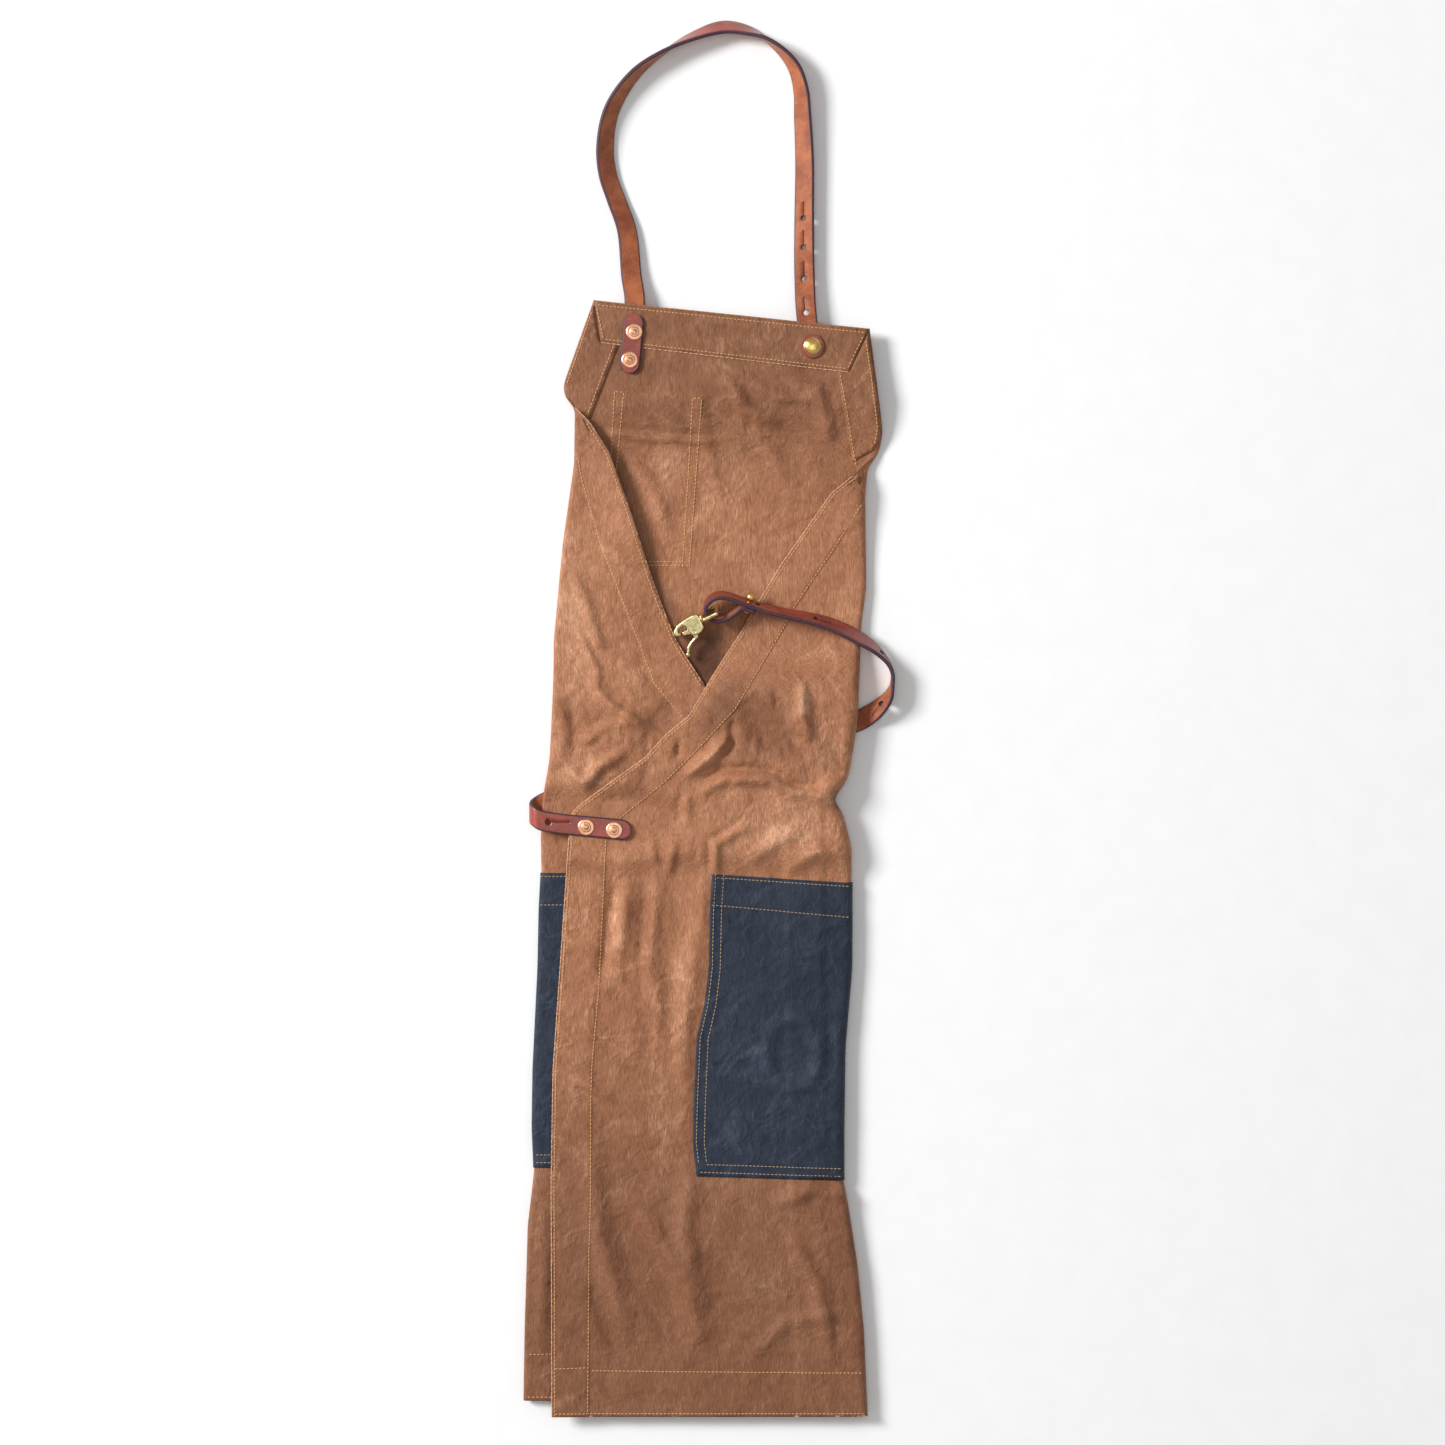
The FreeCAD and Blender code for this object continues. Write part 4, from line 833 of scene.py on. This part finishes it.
def stitch_mesh(name, runs, material, pitch=3.0, length=2.3, radius=0.4):
    """Thread stitches, small bodies that follow the cloth, along runs of (surface, *lines)."""
    angle = np.arange(STITCH_SIDES) * 2 * np.pi / STITCH_SIDES
    points, faces = [], []
    for surface, line in [(run[0], line) for run in runs for line in run[1:]]:
        line = np.array(line, float)
        steps = np.hypot(*np.diff(line, axis=0).T)
        mark, total = np.concatenate([[0], np.cumsum(steps)]), steps.sum()
        count = max(1, int(total / pitch))
        places = (np.arange(count) + 0.5) * total / count
        ends = []
        for offset in (-length / 2, length / 2):
            at = np.clip(places + offset, 0, total)
            x, y = np.interp(at, mark, line[:, 0]), np.interp(at, mark, line[:, 1])
            ends.append(np.stack([x, y, surface(x, y)], 1))
        middle, half = (ends[0] + ends[1]) / 2, (ends[1] - ends[0]) / 2
        along = unit_rows(half)
        side = unit_rows(np.cross(along, [0.0, 0.0, 1.0]))
        up = np.cross(side, along)
        for c, h, s, u in zip(middle, half, side, up):
            faces += tube_faces(len(STITCH_RINGS), STITCH_SIDES, len(points))
            points += [c + h * place + radius * girth * (s * math.cos(a) + u * math.sin(a))
                       for place, girth in STITCH_RINGS for a in angle]
    mesh_piece(name, points, faces, [material])


def beside(line, distance):
    """The points of line moved sideways, to the left of its heading."""
    run = np.array(line, float)
    way = unit_rows(np.gradient(run, axis=0))
    return (run + distance * np.stack([-way[:, 1], way[:, 0]], 1)).tolist()


def make_worn_lit_edges():
    """Turned edges of the wings and the bib's top, pale along the fold of the cloth.

    The pale rim is partly rubbed wear, partly a painted highlight where the fold catches the light.
    """
    stitch_mesh("worn_edges", [
        (on(3.65, "left"), resampled(LEFT_EDGE[1:10], 4)),
        (on(6.65, "right"), resampled(RIGHT_EDGE[1:], 4)),
        (on(1.4, None, BAND_LIFT), [(-89.0, 324.4), (123.2, 302.3)]),
        (on(1.6, None, BAND_LIFT), [(108.4, 269.2), (-49.8, 287.9), (-84.5, 292.4)]),
        (on(6.4, "right"), [(-122.2, -543.9), (122, -543.9)]),
    ], WORN_LIT_EDGE, pitch=4.0, length=4.5, radius=0.5)


def make_stitches():
    below = on(UNDER - ON_TOP)
    stitch_mesh("stitching_bib", [
        (on(BAND + ON_TOP, None, BAND_LIFT), [(-87, 321.4), (121, 299.8)],
         [(-81.5, 294.8), (-50, 290.6), (106.5, 271.8)], [(-87.6, 319), (-82.6, 295)],
         [(119.8, 297), (107.6, 272)]),
        (on(FRONT_FACING + ON_TOP), [(-91.5, 316), (-110.8, 260)], [(-74.5, 290), (-94.6, 237)],
         [(121.8, 294), (125.6, 268), (131.0, 226), (129, 213.5)], [(101.8, 267), (114.6, 197)]),
        (on(FRONT + ON_TOP), [(-73.7, 254), (-76.8, 207), (-83, 170)],
         [(-66.7, 253.5), (-71.4, 207), (-77, 165)], [(-13.1, 248.7), (-16.5, 190), (-21.2, 117.6)],
         [(-6, 248.2), (-10.5, 190), (-15.8, 117.6)], [(-62, 119.4), (-16, 119.0)],
         [(-60, 122.2), (-21, 121.8)], [(-73.7, 254), (-66.7, 253.5)],
         [(-13.1, 248.7), (-6, 248.2)]),
    ], THREAD)
    stitch_mesh("stitching_left_wing", [
        (on(LEFT_WING + ON_TOP, "left"),
         resampled([(-102.6, 203.6), *LEFT_SEAM[1:6], (-12, -12)], 6),
         beside(resampled(LEFT_EDGE[2:10], 6), -2.4),
         [(-141, -496.5), (-122, -496.5)], [(-142.5, -530), (-122, -530)]),
    ], THREAD)
    stitch_mesh("stitching_right_wing", [
        (on(RIGHT_WING + ON_TOP, "right"), resampled([*RIGHT_SEAM[1:9], (-77.5, -84)], 6),
         resampled([(-80.5, -95), *RIGHT_SEAM[10:13], (-92.4, -299.3), *RIGHT_SEAM[13:15],
                    (-94.8, -541)], 6),
         beside(resampled(RIGHT_EDGE[1:], 6), 2.3), [(-120.5, -507), (-96, -506.2)],
         [(-92, -508.6), (119, -510.4)], [(-120.5, -542), (121, -542)]),
    ], THREAD)
    side = [(x, y) for x, y in resampled(RIGHT_POCKET_EDGE, 6) if y > -352]
    pocket_l = LEFT_POCKET + ON_TOP, "left"
    pocket_r = RIGHT_POCKET + ON_TOP, "right"
    stitch_mesh("stitching_pockets", [
        (on(*pocket_r, DOUBLED), [(5.5, -124.6), (109, -131.4)]),
        (on(*pocket_r), [(1.5, -145.7), (109, -155.4)], beside(side, 2.8), beside(side, 9.0),
         [(-7.6, -353.8), (102.6, -357.2)], [(-2.5, -347.8), (102.6, -351.2)]),
        (on(*pocket_l, DOUBLED), [(-132, -123.8), (-60, -123.8)]),
        (on(*pocket_l), [(-132.5, -146), (-60, -146)], [(-135.5, -341), (-60, -341)],
         [(-135.5, -347), (-60, -347)]),
        (below, [(-130, -124), (-28, -124)], [(-130, -146), (-28, -146)],
         [(-28.6, -124), (-28.6, -348)], [(-34.6, -124), (-34.6, -348)],
         [(-134, -348), (-29, -348)], [(-134, -342), (-35, -342)], [(-2.6, -130), (106, -131)],
         [(-2.6, -152), (106, -153)], [(-2.2, -131), (-2.2, -356)], [(3.8, -131), (3.8, -350)],
         [(-2, -357), (99, -357)], [(4, -351), (99, -351)]),
    ], THREAD_PALE)
    under = [(-72.7, 252), (-6.8, 246.4), (-16.8, 118.8), (-81.6, 124)]
    stitch_mesh("stitching_chest_pocket", [
        (below, under + under[:1], [(-66.8, 249), (-75.6, 127)], [(-12.8, 244.6), (-22, 122)]),
    ], THREAD)


# ---------------------------------------------------------------- leather straps
STRAP_WIDTH, STRAP_THICK = 15.9, 3.1
LEVEL_UNDER_BIB = 10.8 - STRAP_THICK / 2
TABLE_GAP = 0.05


def resting(lean):
    """Height of a strap's middle when it leans with its lower edge on the table."""
    a = math.radians(lean)
    return (STRAP_WIDTH * math.sin(a) + STRAP_THICK * abs(math.cos(a))) / 2 + TABLE_GAP


def leaning(points, leans):
    """Stations of (middle, direction across): 0 degrees is flat, 90 on edge, left edge raised."""
    places = np.array(points, float)
    way = unit_rows(np.gradient(places, axis=0))
    stations = []
    for place, heading, lean in zip(places, way, leans):
        left = np.cross([0, 0, 1.0], heading)
        left /= np.linalg.norm(left)
        a = math.radians(lean)
        stations.append((place, left * math.cos(a) + np.array([0, 0, math.sin(a)])))
    return stations


def smoothed(stations, step):
    """Catmull-Rom path through the stations: points and directions across, step mm apart."""
    both = np.array([[*place, *(20 * np.array(across))] for place, across in stations], float)
    both = np.concatenate([[2 * both[0] - both[1]], both, [2 * both[-1] - both[-2]]])
    found = []
    for i in range(1, len(both) - 2):
        p0, p1, p2, p3 = both[i - 1:i + 3]
        k0, k1, k2 = (max(1e-6, math.dist(a[:3], b[:3])) ** 0.5
                      for a, b in ((p0, p1), (p1, p2), (p2, p3)))
        m1 = (p1 - p0) / k0 - (p2 - p0) / (k0 + k1) + (p2 - p1) / k1
        m2 = (p2 - p1) / k1 - (p3 - p1) / (k1 + k2) + (p3 - p2) / k2
        count = max(1, round(math.dist(p1[:3], p2[:3]) / step))
        for j in range(count):
            t = j / count
            found.append((2 * t ** 3 - 3 * t * t + 1) * p1 + (t ** 3 - 2 * t * t + t) * k1 * m1
                         + (3 * t * t - 2 * t ** 3) * p2 + (t ** 3 - t * t) * k1 * m2)
    found = np.array(found + [both[-2]])
    return found[:, :3], found[:, 3:]


GRAIN_SLOT, FLESH_SLOT, EDGE_SLOT = 0, 1, 2


def make_strap(name, stations, grain_up, round_ends=(False, False), keyholes=(),
               thick=STRAP_THICK, body=None, replaced=(), step=2.2):
    """A leather strap with bevelled dyed edges, a grain side and a flesh side, and slit holes.

    keyholes are (x, y, slit): a hole on the strap nearest to x, y, and a slit that many
    millimetres long, against the strap's heading.
    """
    centres, across = smoothed(stations, step)
    way, across = unit_rows(np.gradient(centres, axis=0)), unit_rows(across)
    way = unit_rows(way - across * np.sum(way * across, axis=1)[:, None])
    normal = np.cross(way, across)
    w, t = STRAP_WIDTH / 2, thick / 2
    profile = [(-w + 1.1, t - 0.03), (-w * 0.8, t), (-w / 2, t), (0, t), (w / 2, t), (w * 0.8, t),
               (w - 1.1, t - 0.03), (w - 0.35, t - 0.3), (w, t - 0.85), (w, 0.85 - t),
               (w - 0.35, 0.2 - t), (w - 0.9, -t), (w / 2, -t), (0, -t), (-w / 2, -t),
               (0.9 - w, -t), (0.35 - w, 0.2 - t), (-w, 0.85 - t), (-w, t - 0.85),
               (0.35 - w, t - 0.3)]
    upper, lower = (GRAIN_SLOT, FLESH_SLOT) if grain_up else (FLESH_SLOT, GRAIN_SLOT)
    sides = [upper] * 6 + [EDGE_SLOT] * 5 + [lower] * 4 + [EDGE_SLOT] * 5
    length = np.concatenate([[0], np.cumsum(np.linalg.norm(np.diff(centres, axis=0), axis=1))])
    points = []
    for i, (centre, a, n) in enumerate(zip(centres, across, normal)):
        narrow = 1.0
        for is_round, gap in zip(round_ends, (length[i], length[-1] - length[i])):
            if is_round and gap < w:
                narrow = max(0.06, math.sqrt(1 - (1 - gap / w) ** 2))
        points += [centre + a * p * narrow + n * q for p, q in profile]
    piece = mesh_piece(name, points, tube_faces(len(centres), len(profile)),
                       [GRAIN, FLESH, EDGE], body=None, replaced=replaced,
                       indices=sides * (len(centres) - 1) + [EDGE_SLOT] * 2)
    for x, y, slit in keyholes:
        near = int(np.argmin(np.hypot(centres[:, 0] - x, centres[:, 1] - y)))
        cut = piece.modifiers.new("cut", "BOOLEAN")
        cut.operation = "DIFFERENCE"
        cut.solver = "EXACT"
        cut.object = keyhole(centres[near], -way[near], normal[near], slit)
    if keyholes:
        graph = bpy.context.evaluated_depsgraph_get()
        mesh = bpy.data.meshes.new_from_object(piece.evaluated_get(graph))
        for cut in list(piece.modifiers):
            cutter = cut.object
            piece.modifiers.remove(cut)
            bpy.data.objects.remove(cutter)
        piece.data = mesh
    if body:
        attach(piece, body)
    return piece


HOLE_RADIUS, HOLE_SIDES = 2.2, 20
SLIT = 0.2  # half the width of a slit
CUT_DEPTH = 3.5


def keyhole(centre, way, normal, slit):
    """Cutter in the shape of a round hole with a slit that runs off along way."""
    side = np.cross(normal, way)
    gap = math.asin(SLIT / HOLE_RADIUS)
    outline = [(HOLE_RADIUS * math.cos(a), HOLE_RADIUS * math.sin(a))
               for a in np.linspace(gap, 2 * math.pi - gap, HOLE_SIDES)]
    if slit:
        outline += [(HOLE_RADIUS + slit, -SLIT), (HOLE_RADIUS + slit, SLIT)]
    count = len(outline)
    points = [centre + way * p + side * q + normal * h for h in (-CUT_DEPTH, CUT_DEPTH)
              for p, q in outline]
    faces = [tuple(range(count))[::-1], tuple(range(count, 2 * count))]
    faces += [(i, (i + 1) % count, (i + 1) % count + count, i + count) for i in range(count)]
    mesh = bpy.data.meshes.new("cutter")
    mesh.from_pydata((np.array(points) * MM).tolist(), [], faces)
    mesh.materials.append(EDGE)
    cutter = bpy.data.objects.new("cutter", mesh)
    bpy.context.scene.collection.objects.link(cutter)
    return cutter


def make_neck_strap():
    route = [
        (-58.3, 325.6, 0), (-61, 345, 10), (-64.6, 381, 22), (-73, 405, 28), (-79.4, 424, 32),
        (-81.5, 445, 38), (-76.4, 474, 50), (-59, 501, 70), (-38, 518, 92), (-14, 531, 118),
        (11, 538.8, 133), (30, 536, 122), (44, 529.5, 95), (58, 518, 76), (66.7, 506, 62),
        (71.5, 489, 50), (72.7, 470, 40), (74.3, 434.5, 30), (74, 390, 22), (74.2, 345, 10),
        (75.9, 311.6, 0),
    ]
    points = [[x, y, resting(lean)] for x, y, lean in route]
    for i, share in ((0, 1), (-1, 1), (1, 0.6), (-2, 0.6), (2, 0.25), (-3, 0.25)):
        points[i][2] += share * (LEVEL_UNDER_BIB - points[i][2])
    leans = [0, 0] + [lean for _, _, lean in route] + [0, 0]
    points = [[-62.3, 262, LEVEL_UNDER_BIB], [-60.2, 296, LEVEL_UNDER_BIB]] + points
    points += [[80.5, 288, LEVEL_UNDER_BIB], [84.9, 266, LEVEL_UNDER_BIB]]
    strap = make_strap("neck_strap", leaning(points, leans), False, keyholes=[
        (73.2, 390.3, 11), (73.2, 367.9, 11), (73.7, 342.9, 11), (75.9, 315.1, 10),
    ], replaced=("neck_strap_fixed_end", "neck_strap_loop", "neck_strap_button_end"))
    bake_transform(strap)
    tab = [((x, y, 13.6), (-0.9955, 0.0942, 0.0))
           for x, y in ((-62.6, 268.2), (-60.4, 291.4), (-58.2, 314.7))]
    make_strap("neck_rivet_patch", tab, True, (True, True), thick=2.4, body="apron",
               replaced=("neck_rivet_tab",), step=0.8)


def make_waist_strap():
    south = (0, -1.0, 0)
    top_run, under_run = 14.9, 1.6
    bend = (top_run - under_run) / 2
    stations = [((x, y, top_run), south)
                for x, y in ((-60.7, -87.7), (-90, -84.9), (-118, -82.2), (-132.5, -79.5))]
    stations += [((-132.5 - bend * math.sin(math.pi * i / 6), -79.5 + 2 * i,
                   under_run + bend * (1 + math.cos(math.pi * i / 6))), south)
                 for i in range(1, 6)]
    stations.append(((-132.5, -67.5, under_run), south))
    run = [(-108, -58.9, under_run, 180), (0, -31.9, under_run, 180), (104, -6.5, under_run, 180),
           (117, -2.2, under_run, 180), (125, 2.6, resting(160), 160),
           (132.6, 8.6, resting(138), 138), (139.2, 16.6, resting(115), 115),
           (142.3, 25, resting(93), 93), (142.9, 34, 8.4, 87),
           (139.9, 42, 9.4, 82), (133.2, 50, 11.4, 72), (126, 56, 13.9, 62), (118, 61, 15.2, 54),
           (107, 67, 15.2, 53), (92, 73.5, 15.2, 56), (75, 78, 15.3, 61), (60, 81, 15.7, 65),
           (46, 84.2, 16.0, 66)]
    stations += leaning([p[:3] for p in run], [p[3] for p in run])
    fold = [(36, 87.2), (30.5, 88.8), (24, 91.2), (16, 94), (8, 95.2), (1.5, 93), (-2.6, 88),
            (-2.6, 82.6), (0.8, 78.6), (6, 77), (13, 78.4), (20, 82.6), (25.5, 86.7), (30.5, 85.2),
            (35.5, 83.6)]
    tilt = np.array([0, -0.34, 0.94])
    slope = -tilt[1] / tilt[2]
    tilt /= np.linalg.norm(tilt)
    stations += [((x, y, 16.5 + (y - 88.8) * slope), tilt) for x, y in fold]
    strap = make_strap("waist_strap_leather", stations, True, (True, False), keyholes=[
        (-124.5, -81, 15), (134.3, 10.9, 10), (133, 50.5, 11), (83.4, 76.4, 16), (38, 87, 9),
    ], replaced=("waist_strap", "waist_strap_tail"), step=1.6)
    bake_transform(strap)


# ---------------------------------------------------------------- metal fittings
# node, voxel size, smoothing rounds and how much fuller, to soften the CAD's sharp edges
CASTINGS = (("hook_body", 0.25, 20, 0.1), ("hook_eye", 0.22, 10, 0.3),
            ("hook_gate", 0.2, 6, 0), ("waist_ring", 0.3, 5, 0))


def make_fittings():
    """The CAD's metal and small leather parts, with softened edges and their own surfaces."""
    looks = {
        COPPER: ("neck_rivets", "neck_rivet_burrs", "waist_rivets", "waist_rivet_burrs",
                 "ring_rivets", "ring_rivet_burrs"),
        STUD_BRASS: ("neck_stud", "neck_stud_base", "tail_stud", "tail_stud_base"),
        BRASS: ("waist_ring", "hook_eye", "hook_body", "hook_gate", "gate_pin"),
        GRAIN: ("neck_stud_washer", "ring_tab"),
        STEEL: ("gate_spring",),
    }
    for material, names in looks.items():
        for name in names:
            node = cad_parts[name]
            node.data.materials.clear()
            node.data.materials.append(material)
    for name, voxel, rounds, fuller in CASTINGS:
        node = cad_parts[name]
        cast = node.modifiers.new("cast", "REMESH")
        cast.mode = "VOXEL"
        cast.voxel_size = voxel * MM
        cast.use_smooth_shade = True
        smooth = node.modifiers.new("smooth", "SMOOTH")
        smooth.iterations = rounds
        if fuller:
            full = node.modifiers.new("full", "DISPLACE")
            full.mid_level = 0.0
            full.strength = fuller * MM


floor = make_stage()
floor.data.materials.append(FLOOR)
make_canvas()
make_facings()
make_pockets()
make_worn_lit_edges()
make_stitches()
make_neck_strap()
make_waist_strap()
make_fittings()
